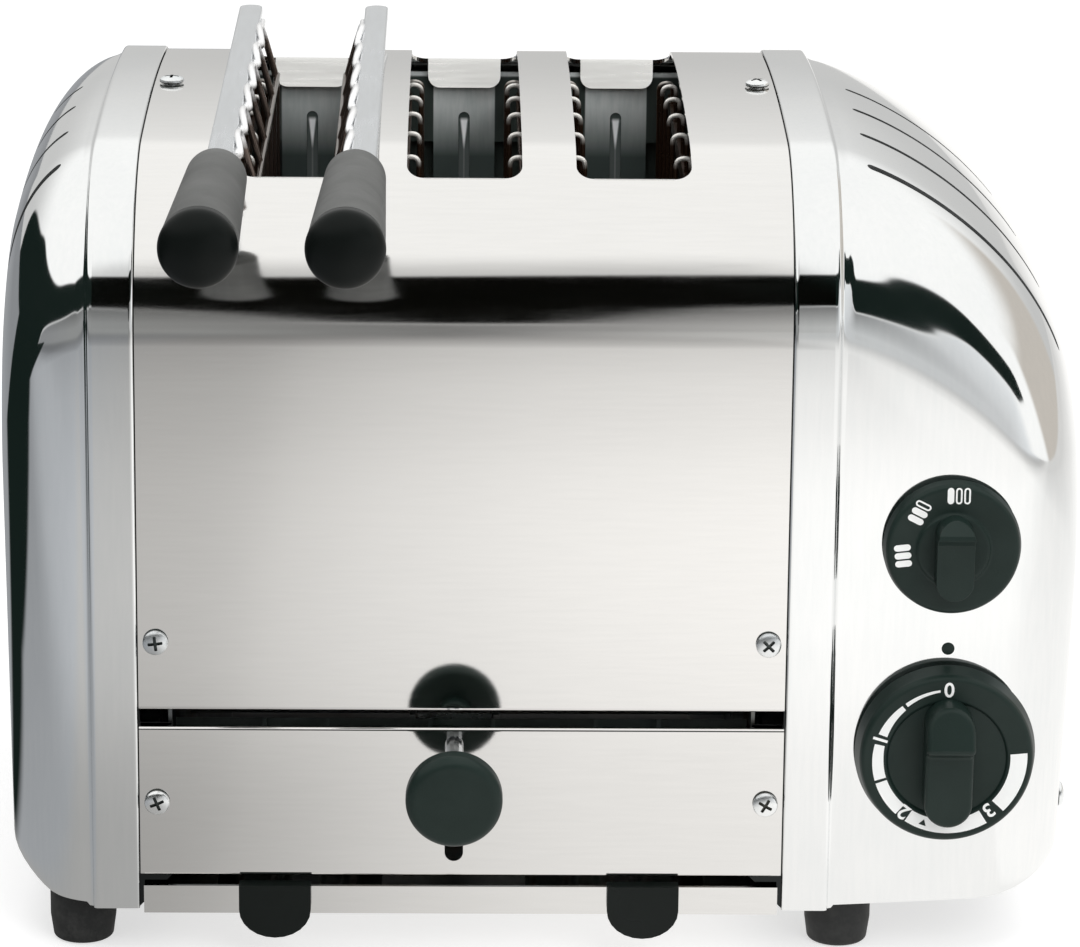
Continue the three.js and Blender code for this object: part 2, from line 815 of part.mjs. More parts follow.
// Side plate of the toasting chamber, with its vents, beam window and rod lug
function sidePlate() {
  const inset = sheet + seat + flangeWall + slack;
  const outline = polygon(bodyOutline(inset, basePlateTop + seat));
  const plate = extrudeX(outline, sidePlateX, sidePlateX + sheet);
  const windowHalf = sidePlateWindowWidth / 2;
  const window = box(
    sidePlateX - overrun, sidePlateX + overrun, bodyMiddle - windowHalf, bodyMiddle + windowHalf,
    beamFoot - slack - rockerGap, beamFoot + beamHeight + liftTravel + 2 * slack,
  );
  const vents = Array.from({ length: sidePlateVentCount }, (_, i) => {
    const y = bodyMiddle + (i - (sidePlateVentCount - 1) / 2) * sidePlateVentPitch;
    const vent = roundedRect(
      y - sidePlateVentWidth / 2, y + sidePlateVentWidth / 2,
      sidePlateVentFoot, sidePlateVentFoot + sidePlateVentLength, sidePlateVentWidth / 2,
    );
    return extrudeX(vent, sidePlateX - overrun, sidePlateX + overrun, 1);
  });
  const lug = box(
    sidePlateX + sheet / 2, rodX + bushRadius, bodyMiddle - bushRadius, bodyMiddle + bushRadius,
    rodTop + seat, rodTop + seat + lugHeight,
  );
  return join(cut(plate, window, ...vents), lug);
}

// End plate of the chamber: bays pressed forward towards the bread, on the rear side
function endPlate() {
  const face = bodyDepth - endPlateSetback;
  const half = sidePlateX - seat;
  const bayHalf = endBayWidth / 2;
  const back = face + endBayDepth;
  const front = [];
  slotPlaceShares.forEach((place) => {
    const x = place * slotPitch;
    front.push([x - bayHalf, back], [x - bayHalf, face], [x + bayHalf, face], [x + bayHalf, back]);
  });
  const rear = [];
  slotPlaceShares.forEach((place) => {
    const x = place * slotPitch;
    const inner = bayHalf - sheet;
    rear.push([x - inner, back + sheet], [x - inner, face + sheet]);
    rear.push([x + inner, face + sheet], [x + inner, back + sheet]);
  });
  rear.reverse();
  const outline = polygon([
    [-half, back], ...front, [half, back], [half, back + sheet], ...rear, [-half, back + sheet],
  ]);
  const folded = extrudeZ(outline, endPlateFoot, endBayTop);
  const top = roofHeight(face + sheet, sheet) - endPlateTopGap;
  const head = box(-half, half, face, face + sheet, endBayTop - sheet, top);
  const ledge = box(-half, half, face, back + sheet, endBayTop - sheet, endBayTop);
  const slots = slotPlaceShares.map((place) => {
    const x = place * slotPitch;
    const slot = roundedRect(
      x - endSlotWidth / 2, x + endSlotWidth / 2, endSlotTop - endSlotLength, endSlotTop, endSlotWidth / 2,
    );
    return extrudeY(slot, face - overrun, back + overrun, 2);
  });
  return cut(join(folded, head, ledge), ...slots);
}

function frontToBack(geometry) {
  return mirroredX(geometry.rotateZ(Math.PI).translate(0, bodyDepth, 0));
}

// Heating element: a board wound with a flat ribbon
function heatingElement(x) {
  const end = bodyDepth - endPlateSetback + endBayDepth - seat;
  const half = elementThickness / 2;
  const y0 = bodyDepth - end;
  const board = box(x - half, x + half, y0, end, elementFoot, elementFoot + elementHeight);
  const spacing = (elementHeight - 2 * ribbonMargin) / (ribbonCount - 1);
  const ribbons = Array.from({ length: ribbonCount }, (_, i) => {
    const z = elementFoot + ribbonMargin + i * spacing;
    const reach = half + ribbonProud;
    return box(
      x - reach, x + reach, y0 + ribbonMargin, end - ribbonMargin, z - ribbonWidth / 2, z + ribbonWidth / 2,
    );
  });
  return join(board, ...ribbons);
}

// Guard beside a slot: hooked upright wires tied by two rods, for a slot centred on X zero
function wireGuard() {
  const drop = sheet + guardDrop;
  const face = endPlateSetback + seat;
  const bend = (guardOuter - guardInner) / 2;
  const parts = [];
  for (let i = 0; i < guardCount; i += 1) {
    const y = bodyMiddle + (i - (guardCount - 1) / 2) * guardPitch;
    const top = roofHeight(y, drop) + guardWireRadius;
    const points = [
      [guardInner, guardFoot], [guardInner, top - bend], [guardInner + bend, top],
      [guardOuter, top - bend], [guardOuter, top - guardHookDrop - guardWireRadius],
    ];
    parts.push(wire(points.map(([x, z]) => new THREE.Vector3(x, y, z)), guardWireRadius, guardSides));
  }
  const half = guardStripThickness / 2;
  const upper = roofHeight(bodyMiddle, drop) - guardHookDrop + guardWireRadius;
  parts.push(box(guardOuter - half, guardOuter + half, face, bodyDepth - face, upper - guardStripHeight, upper));
  const low = endPlateSetback - endBayDepth + seat;
  const lowTop = guardFoot + guardStripHeight / 2;
  parts.push(box(guardInner - half, guardInner + half, low, bodyDepth - low, lowTop - guardStripHeight, lowTop));
  return join(...parts);
}

// Bread rack: a shallow channel with crumb holes
function breadRack(x) {
  const half = rackWidth / 2;
  const y0 = bodyMiddle - rackLength / 2;
  const y1 = bodyMiddle + rackLength / 2;
  const outline = polygon([
    [x - half, rackFoot], [x + half, rackFoot], [x + half, rackFoot + rackLipHeight],
    [x + half - rackThickness, rackFoot + rackLipHeight], [x + half - rackThickness, rackFoot + rackThickness],
    [x - half + rackThickness, rackFoot + rackThickness], [x - half + rackThickness, rackFoot + rackLipHeight],
    [x - half, rackFoot + rackLipHeight],
  ]);
  const pitch = rackLength / rackHoleCount;
  const holes = [];
  for (let i = 0; i < rackHoleCount; i += 1) {
    if (i === (rackHoleCount - 1) / 2) continue;
    const y = y0 + pitch * (i + 0.5);
    const halfWidth = rackHoleWidth / 2;
    const halfLength = rackHoleLength / 2;
    holes.push(box(
      x - halfWidth, x + halfWidth, y - halfLength, y + halfLength, rackFoot - overrun, rackFoot + overrun,
    ));
  }
  return cut(extrudeY(outline, y0, y1), ...holes);
}

// Lifting beam with a post under each rack and a bush at each end
function liftBeam() {
  const top = beamFoot + beamHeight;
  const y0 = bodyMiddle - beamDepth / 2;
  const y1 = bodyMiddle + beamDepth / 2;
  const beam = box(-rodX, rodX, y0, y1, beamFoot, top);
  const padHalf = beamPadWidth / 2;
  const padReach = beamPadDepth / 2;
  const pad = box(
    ejectorX - padHalf, ejectorX + padHalf, bodyMiddle - padReach, bodyMiddle + padReach,
    beamFoot - beamPadDrop, beamFoot + sheet,
  );
  const posts = slotPlaceShares.map((place) => {
    const x = place * slotPitch;
    const half = beamPostWidth / 2;
    return box(x - half, x + half, y0, y1, top - sheet, rackFoot - seat);
  });
  const bushes = [-rodX, rodX].map((x) => cylinderZ(bushRadius, beamFoot, top + rodRadius, x, bodyMiddle));
  const bores = [-rodX, rodX].map((x) => (
    cylinderZ(rodRadius + slack, beamFoot - overrun, top + rodRadius + overrun, x, bodyMiddle)
  ));
  return cut(join(beam, pad, ...posts, ...bushes), ...bores);
}

// Ejector carriage with its stem, which leans down towards the knob
function stemPath() {
  const front = new THREE.Vector3(ejectorX, ejectorKnobY, ejectorKnobZ);
  const panel = new THREE.Vector3(ejectorX, 0, ejectorStemZ);
  return { front, panel, direction: front.clone().sub(panel).normalize() };
}

// A turned piece set along the stem, from a distance in front of the panel
function onStem(geometry, distance) {
  const { panel, direction } = stemPath();
  const turn = new THREE.Quaternion().setFromUnitVectors(axes.y, direction);
  const place = panel.clone().addScaledVector(direction, distance);
  return geometry.applyQuaternion(turn).translate(place.x, place.y, place.z);
}

function knobStart() {
  const { front, panel } = stemPath();
  return front.distanceTo(panel) - ejectorKnobLength / 2;
}

function ejectorCarriage() {
  const half = carriageWidth / 2;
  const x0 = ejectorX - half;
  const x1 = ejectorX + half;
  const foot = carriageTop - carriageHeight;
  const blockBack = carriageFront + carriageBlockDepth;
  const block = box(x0, x1, carriageFront, blockBack, foot, carriageTop);
  const shelf = box(
    x0, x1, blockBack - sheet, carriageFront + carriageDepth, carriageTop - carriageShelf, carriageTop,
  );
  const stemEnd = knobStart() + knobBoreDepth;
  const stemBack = -carriageFront - carriageBlockDepth / 2;
  const stem = onStem(
    new THREE.CylinderGeometry(ejectorStemRadius, ejectorStemRadius, stemEnd - stemBack, smallSteps),
    (stemEnd + stemBack) / 2,
  );
  return join(block, shelf, stem);
}

function ejectorKnob() {
  const bore = ejectorStemRadius + seat;
  const length = ejectorKnobLength;
  const profile = [
    [bore, -ejectorCollarLength], [ejectorCollarRadius, -ejectorCollarLength], [ejectorCollarRadius, 0],
  ];
  for (let i = 0; i <= 2; i += 1) {
    const angle = (Math.PI / 2) * (i / 2);
    const r = ejectorKnobRadius - (ejectorKnobRound / 2) * (1 - Math.sin(angle));
    profile.push([r, (ejectorKnobRound / 2) * (1 - Math.cos(angle))]);
  }
  for (let i = 0; i <= 3; i += 1) {
    const angle = (Math.PI / 2) * (i / 3);
    const r = ejectorKnobRadius - ejectorKnobRound * (1 - Math.cos(angle));
    profile.push([r, length - ejectorKnobRound * (1 - Math.sin(angle))]);
  }
  profile.push([ejectorKnobRadius / 2, length + ejectorCrownRise], [0, length + ejectorCrownRise]);
  profile.push([0, knobBoreDepth + seat], [bore, knobBoreDepth + seat], [bore, -ejectorCollarLength]);
  return onStem(turned(profile), knobStart());
}

// Rocker geometry shared by the rocker, its bracket and its pin
const rockerTipZ = carriageTop - carriageShelf - rockerGap - rockerTipRadius;
const pivotY = (rockerTipY + bodyMiddle) / 2;
const pivotZ = rockerTipZ - liftTravel / 2;

// Rocker that turns the ejector's downward push into a lift
function rocker() {
  const half = rockerWidth / 2;
  const reach = bodyMiddle - pivotY;
  const arm = [
    [-reach, liftTravel / 2, rockerTipRadius],
    [0, 0, rockerHubRadius],
    [reach, -liftTravel / 2, rockerTipRadius],
  ];
  const ends = arm.map(([y, z, radius]) => (
    cylinderX(radius, ejectorX - half, ejectorX + half, pivotY + y, pivotZ + z)
  ));
  const lean = Math.atan2(-liftTravel / 2, reach);
  const spine = Math.hypot(reach, liftTravel / 2);
  const webHalf = rockerWebThickness / 2;
  const web = box(ejectorX - half, ejectorX + half, -spine, spine, -webHalf, webHalf);
  web.rotateX(lean).translate(0, pivotY, pivotZ);
  const bore = cylinderX(
    pivotRadius + slack / 2, ejectorX - rockerWidth, ejectorX + rockerWidth, pivotY, pivotZ,
  );
  return cut(join(...ends, web), bore);
}

// Bracket whose cheeks guide the carriage and hold the riveted pin of the rocker
function ejectorBracket() {
  const inner = carriageWidth / 2 + slack;
  const foot = basePlateTop + seat;
  const outline = polygon([
    [bracketFront, foot], [bracketBack, foot], [bracketBack, pivotZ + rockerHubRadius],
    [carriageFront + carriageDepth + slack, bracketTop], [bracketFront, bracketTop],
  ]);
  const cheeks = [-1, 1].map((side) => {
    const a = ejectorX + side * inner;
    const b = ejectorX + side * (inner + bracketSheet);
    return extrudeX(outline, Math.min(a, b), Math.max(a, b));
  });
  const floor = box(
    ejectorX - inner - sheet, ejectorX + inner + sheet, bracketFront, bracketBack, foot, foot + sheet,
  );
  const pinHalf = inner + bracketSheet + sheet;
  const pin = cylinderX(pivotRadius, ejectorX - pinHalf, ejectorX + pinHalf, pivotY, pivotZ);
  return join(...cheeks, floor, pin);
}

// Timer: dial knob, its shaft and the clockwork behind the casting
function dialFace() {
  return domeStep - knobStandoff;
}

function timerKnob() {
  const h = timerSkirtHeight;
  const bore = shaftRadius + seat;
  const profile = [
    [0, knobBoreDepth], [bore, knobBoreDepth], [bore, 0], [timerSkirtRadius - knobEdge, 0],
    [timerSkirtRadius, knobEdge], [timerFaceRadius, h - knobEdge], [timerFaceRadius - knobEdge, h],
    [timerDiscRadius, h],
    [timerDiscRadius - timerFaceStep, h - timerFaceStep], [0, h - timerFaceStep],
  ];
  const disc = turned(profile, dialSteps);
  const grip = gripBar(timerGripWidth, timerGripLength, h - sheet, timerGripHeight + sheet, timerHumpHeight);
  return onPanel(join(disc, grip), timerX, timerZ);
}

function selectorKnob() {
  const h = selectorSkirtHeight;
  const bore = shaftRadius + seat;
  const depth = knobBoreDepth - knobEdge;
  const top = h + selectorHubHeight;
  const profile = [
    [0, depth], [bore, depth], [bore, 0], [selectorSkirtRadius - knobEdge, 0],
    [selectorSkirtRadius, knobEdge], [selectorFaceRadius, h - knobEdge], [selectorFaceRadius - knobEdge, h],
    [selectorHubRadius + knobEdge, h], [selectorHubRadius, top], [0, top],
  ];
  const disc = turned(profile, dialSteps);
  const grip = gripBar(selectorGripWidth, selectorGripLength, h - sheet, selectorGripHeight + sheet, sheet);
  return onPanel(join(disc, grip), selectorX, selectorZ);
}

// Raised finger grip: a round-ended bar with a taller half above its centre
function gripBar(width, length, foot, height, hump) {
  const half = width / 2;
  const top = foot + height;
  const lower = roundedRect(-half, half, -length / 2, length / 2, half - sheet / 2);
  const bar = new THREE.ExtrudeGeometry(lower, {
    depth: height - 2 * sheet, bevelEnabled: true, bevelThickness: sheet, bevelSize: sheet, bevelOffset: -sheet,
    bevelSegments: 1, curveSegments: 4,
  });
  bar.translate(0, 0, foot + sheet);
  const shoulder = length / 2 - half;
  const side = polygon([[shoulder, top - sheet], [0, top - sheet], [0, top + hump], [shoulder, top]]);
  const wedge = extrudeX(side, -half + sheet, half - sheet);
  return join(bar, wedge).rotateX(-Math.PI / 2);
}

// Stands a turned piece on the front of the casting, its axis pointing out
function onPanel(geometry, x, z) {
  return geometry.rotateX(Math.PI).translate(x, dialFace(), z);
}

function controlShaft(x, z, length) {
  const front = dialFace() - knobBoreDepth + 2 * seat + sheet;
  return cylinderY(shaftRadius, front, length, x, z);
}

function timerCase() {
  const half = timerPlateSize / 2;
  const backY = timerFrontPlateY + timerCaseLength;
  const wall = domeStep + domeWall + seat + slack;
  const plates = [timerFrontPlateY, backY].map((y) => (
    box(timerX - half, timerX + half, y, y + timerPlateThickness, timerZ - half, timerZ + half)
  ));
  const reach = half - 2 * timerPillarRadius;
  const pillars = [-1, 1].flatMap((sx) => [-1, 1].map((sz) => (
    cylinderY(timerPillarRadius, wall, backY + sheet, timerX + sx * reach, timerZ + sz * reach, screwSegments)
  )));
  const middle = timerFrontPlateY + timerCaseLength / 2;
  const drum = cylinderY(timerDrumRadius, middle, backY + sheet, timerX, timerZ, roundSteps);
  const bore = cylinderY(shaftRadius + slack, 0, middle + overrun, timerX, timerZ);
  return cut(join(...plates, ...pillars, drum), bore);
}

function selectorCase() {
  const half = selectorCaseWidth / 2;
  const wall = domeStep + domeWall + seat;
  const y0 = timerFrontPlateY;
  const back = y0 + selectorCaseDepth;
  const body = box(selectorX - half, selectorX + half, y0, back, selectorZ - half, selectorZ + half);
  const neck = cylinderY(shaftCollarRadius + 2 * sheet, wall, y0 + sheet, selectorX, selectorZ);
  const tags = [-1, 0, 1].map((place) => {
    const x = selectorX + place * shaftCollarRadius * 2;
    return box(
      x - shaftRadius / 2, x + shaftRadius / 2, back - sheet, back + selectorTagLength,
      selectorZ - sheet / 2, selectorZ + sheet / 2,
    );
  });
  const bore = cylinderY(shaftRadius + slack, 0, y0 + selectorCaseDepth / 2, selectorX, selectorZ);
  return cut(join(body, neck, ...tags), bore);
}

// Pan-head screw, its head above Z zero
function panScrew() {
  const profile = [
    [0, -screwLength], [screwShankRadius, -screwLength], [screwShankRadius, 0], [screwHeadRadius, 0],
    [screwCrownRadius, screwHeadHeight], [0, screwHeadHeight],
  ];
  return turned(profile, screwSegments).rotateX(Math.PI / 2);
}

function screwSet() {
  const screw = panScrew();
  const facing = {
    front: (x, z) => screw.clone().rotateX(Math.PI / 2).translate(x, -seat, z),
    rear: (x, z) => screw.clone().rotateX(-Math.PI / 2).translate(x, bodyDepth + seat, z),
    top: (x) => screw.clone().translate(x, bodyMiddle, bodyHeight + seat),
    right: (x, y, z) => screw.clone().rotateY(Math.PI / 2).translate(x + 2 * seat, y, z),
  };
  const set = {};
  [['left', -frontScrewX], ['right', frontScrewX]].forEach(([side, x]) => {
    set[`screw_front_upper_${side}`] = facing.front(x, upperScrewZ);
    set[`screw_front_lower_${side}`] = facing.front(x, lowerScrewZ);
    set[`screw_rear_upper_${side}`] = facing.rear(x, upperScrewZ);
    set[`screw_rear_lower_${side}`] = facing.rear(x, lowerScrewZ);
    set[`screw_top_${side}`] = facing.top(x);
  });
  set.screw_side_right = facing.right(sideWallX(rightDome, sideScrewZ), sideScrewY, sideScrewZ);
  return set;
}

function cordBush() {
  const faceY = domeWall + 2 * seat;
  const profile = [
    [bushBoreRadius, -bushFlangeThickness], [bushFlangeRadius, -bushFlangeThickness], [bushFlangeRadius, -seat],
    [bushBodyRadius, -seat], [bushBodyRadius, faceY], [bushBodyRadius + sheet / 2, faceY],
    [bushBodyRadius, bushBodyLength], [bushBoreRadius, bushBodyLength], [bushBoreRadius, -bushFlangeThickness],
  ];
  return turned(profile, footSteps).rotateX(Math.PI).translate(bushX, bodyDepth - domeStep, bushZ);
}

// Half of the sandwich cage on the right of its hinge, centred on X zero
function cageHalf(knuckleStart) {
  const barZ = bodyHeight + seat;
  const half = cageBarWidth / 2;
  const bar = roundedRect(
    cageBarSpread - half, cageBarSpread + half, cageBarFront, cageBarBack, half - sheet / 2,
  );
  const parts = [extrudeZ(bar, barZ, barZ + cageBarThickness, 4)];
  const pitch = (cageGridBack - cageGridFront) / (cageWireCount - 1);
  const hookZ = barZ + cageBarThickness / 2;
  for (let i = 0; i < cageWireCount; i += 1) {
    const y = cageGridFront + i * pitch;
    const points = [
      [cageBarSpread - half + sheet, hookZ], [slotWidth / 2 - 2 * cageWireRadius, hookZ],
      [slotWidth / 2 - 3 * cageWireRadius, hookZ - 2 * cageWireRadius], [cageGridInset, cageGridTop],
      [cageGridInset, cageHingeZ + cageGridInset],
    ];
    if (i % 2 === knuckleStart) {
      points.push([cageKnuckleRadius - cageWireRadius, cageHingeZ + cageKnuckleRadius / 2]);
    }
    parts.push(wire(points.map(([x, z]) => new THREE.Vector3(x, y, z)), cageWireRadius, cageWireSides));
  }
  const crossPitch = (cageGridTop - cageHingeZ - cageGridInset) / (cageCrossCount - 1);
  const crossHalf = cageCrossThickness / 2;
  for (let i = 0; i < cageCrossCount; i += 1) {
    const z = cageHingeZ + cageGridInset + i * crossPitch;
    parts.push(box(
      cageGridInset - crossHalf, cageGridInset + crossHalf, cageGridFront - cageWireRadius - crossHalf,
      cageGridBack + cageWireRadius + crossHalf, z - crossHalf, z + crossHalf,
    ));
  }
  for (let i = knuckleStart; i < cageWireCount; i += 2) {
    const y = cageGridFront + i * pitch - cageKnuckleLength / 2;
    parts.push(cylinderY(cageKnuckleRadius, y, y + cageKnuckleLength, 0, cageHingeZ, screwSegments));
  }
  const bore = cylinderY(
    cageRodRadius + slack / 2, cageGridFront - cageKnuckleLength, cageGridBack + cageKnuckleLength,
    0, cageHingeZ, screwSegments,
  );
  return cut(join(...parts), bore);
}

function cageRod() {
  const start = bodyMiddle - slotLength / 2 + sheet / 2 + slack;
  return cylinderY(cageRodRadius, start, bodyDepth - start, cageX, cageHingeZ, screwSegments);
}

// Tapered round handle over the front end of a bar
function cageHandle(x) {
  const barZ = bodyHeight + seat + cageBarThickness / 2;
  const length = cageHandleLength;
  const round = cageHandleRound;
  const profile = [
    [0, 0], [cageHandleNeckRadius - round, 0], [cageHandleNeckRadius, round],
    [cageHandleTipRadius, length - round], [cageHandleTipRadius - round, length], [0, length],
  ];
  const grip = turned(profile).rotateX(Math.PI).translate(x + cageHandleSide, cageHandleBack, barZ + cageHandleLift);
  const half = cageBarWidth / 2 + seat;
  const socket = box(
    x - half, x + half, cageBarFront - seat, cageHandleBack + overrun,
    bodyHeight, bodyHeight + cageBarThickness + 2 * seat,
  );
  return cut(grip, socket);
}

// Assembly
const toaster = new THREE.Group();
toaster.name = 'toaster';

function add(name, geometry, finish) {
  const material = new THREE.MeshStandardMaterial(finishes[finish]);
  const mesh = new THREE.Mesh(geometry, material);
  mesh.name = name;
  toaster.add(mesh);
}

add('end_casting_right', rightCasting(), 'castMetal');
add('end_casting_left', mirroredX(endCasting(leftDome, [])), 'castMetal');
add('body_cover', bodyCover(), 'steel');
add('lower_front_panel', lowerFrontPanel(), 'steel');
add('lower_rear_panel', lowerPanel(bodyDepth, -1), 'steel');
add('base_plate', basePlate(), 'plainSteel');
footPlaces().forEach(([x, y]) => {
  const name = `foot_${y < bodyMiddle ? 'front' : 'rear'}_${x < 0 ? 'left' : 'right'}`;
  add(name, rubberFoot(x, y), 'rubber');
});
add('side_plate_right', sidePlate(), 'plainSteel');
add('side_plate_left', mirroredX(sidePlate()), 'plainSteel');
add('end_plate_rear', endPlate(), 'plainSteel');
add('end_plate_front', frontToBack(endPlate()), 'plainSteel');
elementPlaceShares.forEach((place, i) => {
  add(`heating_element_${i + 1}`, heatingElement(place * slotPitch), 'mica');
});
slotPlaceShares.forEach((place, i) => {
  const guard = wireGuard();
  add(`wire_guard_${i + 1}_right`, guard.clone().translate(place * slotPitch, 0, 0), 'wire');
  add(`wire_guard_${i + 1}_left`, mirroredX(guard).translate(place * slotPitch, 0, 0), 'wire');
  add(`bread_rack_${i + 1}`, breadRack(place * slotPitch), 'plainSteel');
});
add('lift_beam', liftBeam(), 'plainSteel');
add('guide_rod_left', cylinderZ(rodRadius, basePlateTop + seat, rodTop, -rodX, bodyMiddle), 'zinc');
add('guide_rod_right', cylinderZ(rodRadius, basePlateTop + seat, rodTop, rodX, bodyMiddle), 'zinc');
add('ejector_carriage', ejectorCarriage(), 'zinc');
add('ejector_knob', ejectorKnob(), 'plastic');
add('ejector_bracket', ejectorBracket(), 'plainSteel');
add('rocker', rocker(), 'zinc');
add('timer_knob', timerKnob(), 'plastic');
add('timer_shaft', controlShaft(timerX, timerZ, timerFrontPlateY + timerCaseLength / 2), 'zinc');
add('timer_case', timerCase(), 'plainSteel');
add('selector_knob', selectorKnob(), 'plastic');
add('selector_shaft', controlShaft(selectorX, selectorZ, timerFrontPlateY + selectorCaseDepth / 3), 'zinc');
add('selector_case', selectorCase(), 'casePlastic');
add('cord_bush', cordBush(), 'rubber');
add('crumb_tray', crumbTray(), 'steel');
add('tray_grip_left', trayGrip(trayGripLeftX), 'plastic');
add('tray_grip_right', trayGrip(trayGripRightX), 'plastic');
Object.entries(screwSet()).forEach(([name, geometry]) => add(name, geometry, 'zinc'));
add('cage_half_right', cageHalf(1).translate(cageX, 0, 0), 'wire');
add('cage_half_left', mirroredX(cageHalf(0)).translate(cageX, 0, 0), 'wire');
add('cage_rod', cageRod(), 'zinc');
add('cage_handle_right', cageHandle(cageX + cageBarSpread), 'handlePlastic');
add('cage_handle_left', cageHandle(cageX - cageBarSpread), 'handlePlastic');

// The origin goes to the middle of the whole toaster's box, on the ground
const bounds = new THREE.Box3().setFromObject(toaster);
const centre = bounds.getCenter(new THREE.Vector3());
toaster.position.set(-centre.x, -centre.y, -bounds.min.z);
toaster.updateMatrixWorld(true);

export default toaster;
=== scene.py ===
import json
from math import asin, cos, pi, radians, sin, sqrt

import bmesh
import bpy
from mathutils import Matrix, Vector
from mathutils.bvhtree import BVHTree
from mathutils.interpolate import poly_3d_calc


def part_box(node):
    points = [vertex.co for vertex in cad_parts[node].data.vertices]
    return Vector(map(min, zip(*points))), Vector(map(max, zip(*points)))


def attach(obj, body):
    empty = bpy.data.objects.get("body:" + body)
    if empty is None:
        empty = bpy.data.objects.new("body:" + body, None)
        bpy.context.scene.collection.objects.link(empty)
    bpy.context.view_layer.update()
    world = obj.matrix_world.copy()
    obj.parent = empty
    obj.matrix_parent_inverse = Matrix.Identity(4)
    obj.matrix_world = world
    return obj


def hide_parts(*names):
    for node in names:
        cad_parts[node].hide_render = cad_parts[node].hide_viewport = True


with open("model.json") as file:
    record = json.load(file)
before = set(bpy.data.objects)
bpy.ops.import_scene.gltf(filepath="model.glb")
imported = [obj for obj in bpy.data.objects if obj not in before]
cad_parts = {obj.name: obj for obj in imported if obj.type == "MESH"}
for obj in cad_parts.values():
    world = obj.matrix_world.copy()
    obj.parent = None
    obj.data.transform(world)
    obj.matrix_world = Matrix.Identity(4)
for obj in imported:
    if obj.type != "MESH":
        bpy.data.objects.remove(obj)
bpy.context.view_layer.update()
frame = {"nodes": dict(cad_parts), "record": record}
nodes = frame["nodes"]
scene = bpy.context.scene

# The shop frame, in millimetres, has X 0 at the middle of the panels, Y 0 at the front face and Z 0 on the ground
MM = 0.001
SHIFT = Vector((-0.02165, -0.05325, 0.0))
# half the body's depth, its height, and the radii of its shoulders and crown
BODY_HALF, BODY_TOP, SHOULDER, CROWN = 105.0, 220.0, 46.7, 737.0
SLOT_PITCH, SLOT_WIDTH, SLOT_LENGTH, SLOT_ROUND = 45.1, 30.7, 163.0, 4.5
SLOT_X = {"left": -SLOT_PITCH, "middle": 0.0, "right": SLOT_PITCH}


def P(x, y, z):
    """A point of the shop frame, in metres of the row frame."""
    return Vector((x * MM, y * MM, z * MM)) + SHIFT


def shown(name, data):
    """A new object in the scene."""
    obj = bpy.data.objects.new(name, data)
    scene.collection.objects.link(obj)
    return obj


# -------- camera, fitted to the photograph
PITCH, ROLL, YAW = 0.27653377, 0.00980916, -0.01752291
CAMERA_PLACE = (-2.34, -1294.07, 504.0)
FOCAL_PIXELS, PICTURE_PIXELS, SENSOR_WIDTH = 5077.36, 1080.0, 36.0


def photo_camera():
    """Stands where the photograph was taken."""
    data = bpy.data.cameras.new("camera")
    data.sensor_width = SENSOR_WIDTH
    data.lens = FOCAL_PIXELS / PICTURE_PIXELS * SENSOR_WIDTH
    data.clip_start, data.clip_end = 0.05, 60.0
    turn = Matrix.Rotation(YAW, 3, "Z")
    forward = turn @ Vector((0.0, cos(PITCH), -sin(PITCH)))
    level = turn @ Vector((1.0, 0.0, 0.0))
    over = turn @ Vector((0.0, sin(PITCH), cos(PITCH)))
    right = cos(ROLL) * level + sin(ROLL) * over
    up = -sin(ROLL) * level + cos(ROLL) * over
    camera = shown("camera", data)
    camera.matrix_world = Matrix((right, up, -forward)).transposed().to_4x4()
    camera.location = P(*CAMERA_PLACE)
    scene.camera = camera


photo_camera()
scene.view_settings.view_transform = "Standard"


# -------- node helpers
class Tree:
    """A small hand for building shader trees; an input takes a value or another node's output."""

    def __init__(self, tree):
        self.tree = tree

    def put(self, socket, value):
        if isinstance(value, bpy.types.NodeSocket):
            self.tree.links.new(value, socket)
        else:
            socket.default_value = value

    def node(self, kind, inputs, **values):
        made = self.tree.nodes.new(kind)
        for key, value in values.items():
            setattr(made, key, value)
        for key, value in inputs.items():
            self.put(made.inputs[key], value)
        return made

    def math(self, operation, *numbers, clamp=False):
        return self.node("ShaderNodeMath", dict(enumerate(numbers)), operation=operation, use_clamp=clamp).outputs[0]

    def product(self, first, *others):
        for other in others:
            first = self.math("MULTIPLY", first, other)
        return first

    def line(self, value, low, high, out_low=0.0, out_high=1.0, kind="LINEAR"):
        inputs = {"Value": value, "From Min": low, "From Max": high, "To Min": out_low, "To Max": out_high}
        return self.node("ShaderNodeMapRange", inputs, interpolation_type=kind).outputs["Result"]

    def step(self, value, low, high):
        return self.line(value, low, high, kind="SMOOTHSTEP")

    def mix(self, factor, a, b):
        return self.node("ShaderNodeMix", {0: factor, 6: a, 7: b}, data_type="RGBA").outputs[2]

    def split(self, vector):
        return self.node("ShaderNodeSeparateXYZ", {0: vector}).outputs

    def place(self, kind="Object"):
        return self.node("ShaderNodeTexCoord", {}).outputs[kind]

    def ramp(self, value, stops):
        made = self.node("ShaderNodeValToRGB", {0: value})
        elements = made.color_ramp.elements
        while len(elements) < len(stops):
            elements.new(0.5)
        for element, (where, colour) in zip(elements, stops):
            element.position, element.color = where, colour
        return made.outputs["Color"]

    def curve(self, value, points, low, high):
        """A smooth curve through (input, output) points whose outputs lie between low and high."""
        first, last = points[0][0], points[-1][0]
        made = self.node("ShaderNodeFloatCurve", {"Value": self.line(value, first, last)})
        track = made.mapping.curves[0]
        while len(track.points) < len(points):
            track.points.new(0.5, 0.5)
        for spot, (at, out) in zip(track.points, points):
            spot.location = ((at - first) / (last - first), (out - low) / (high - low))
            spot.handle_type = "AUTO_CLAMPED"
        made.mapping.update()
        return self.line(made.outputs["Value"], 0.0, 1.0, low, high)


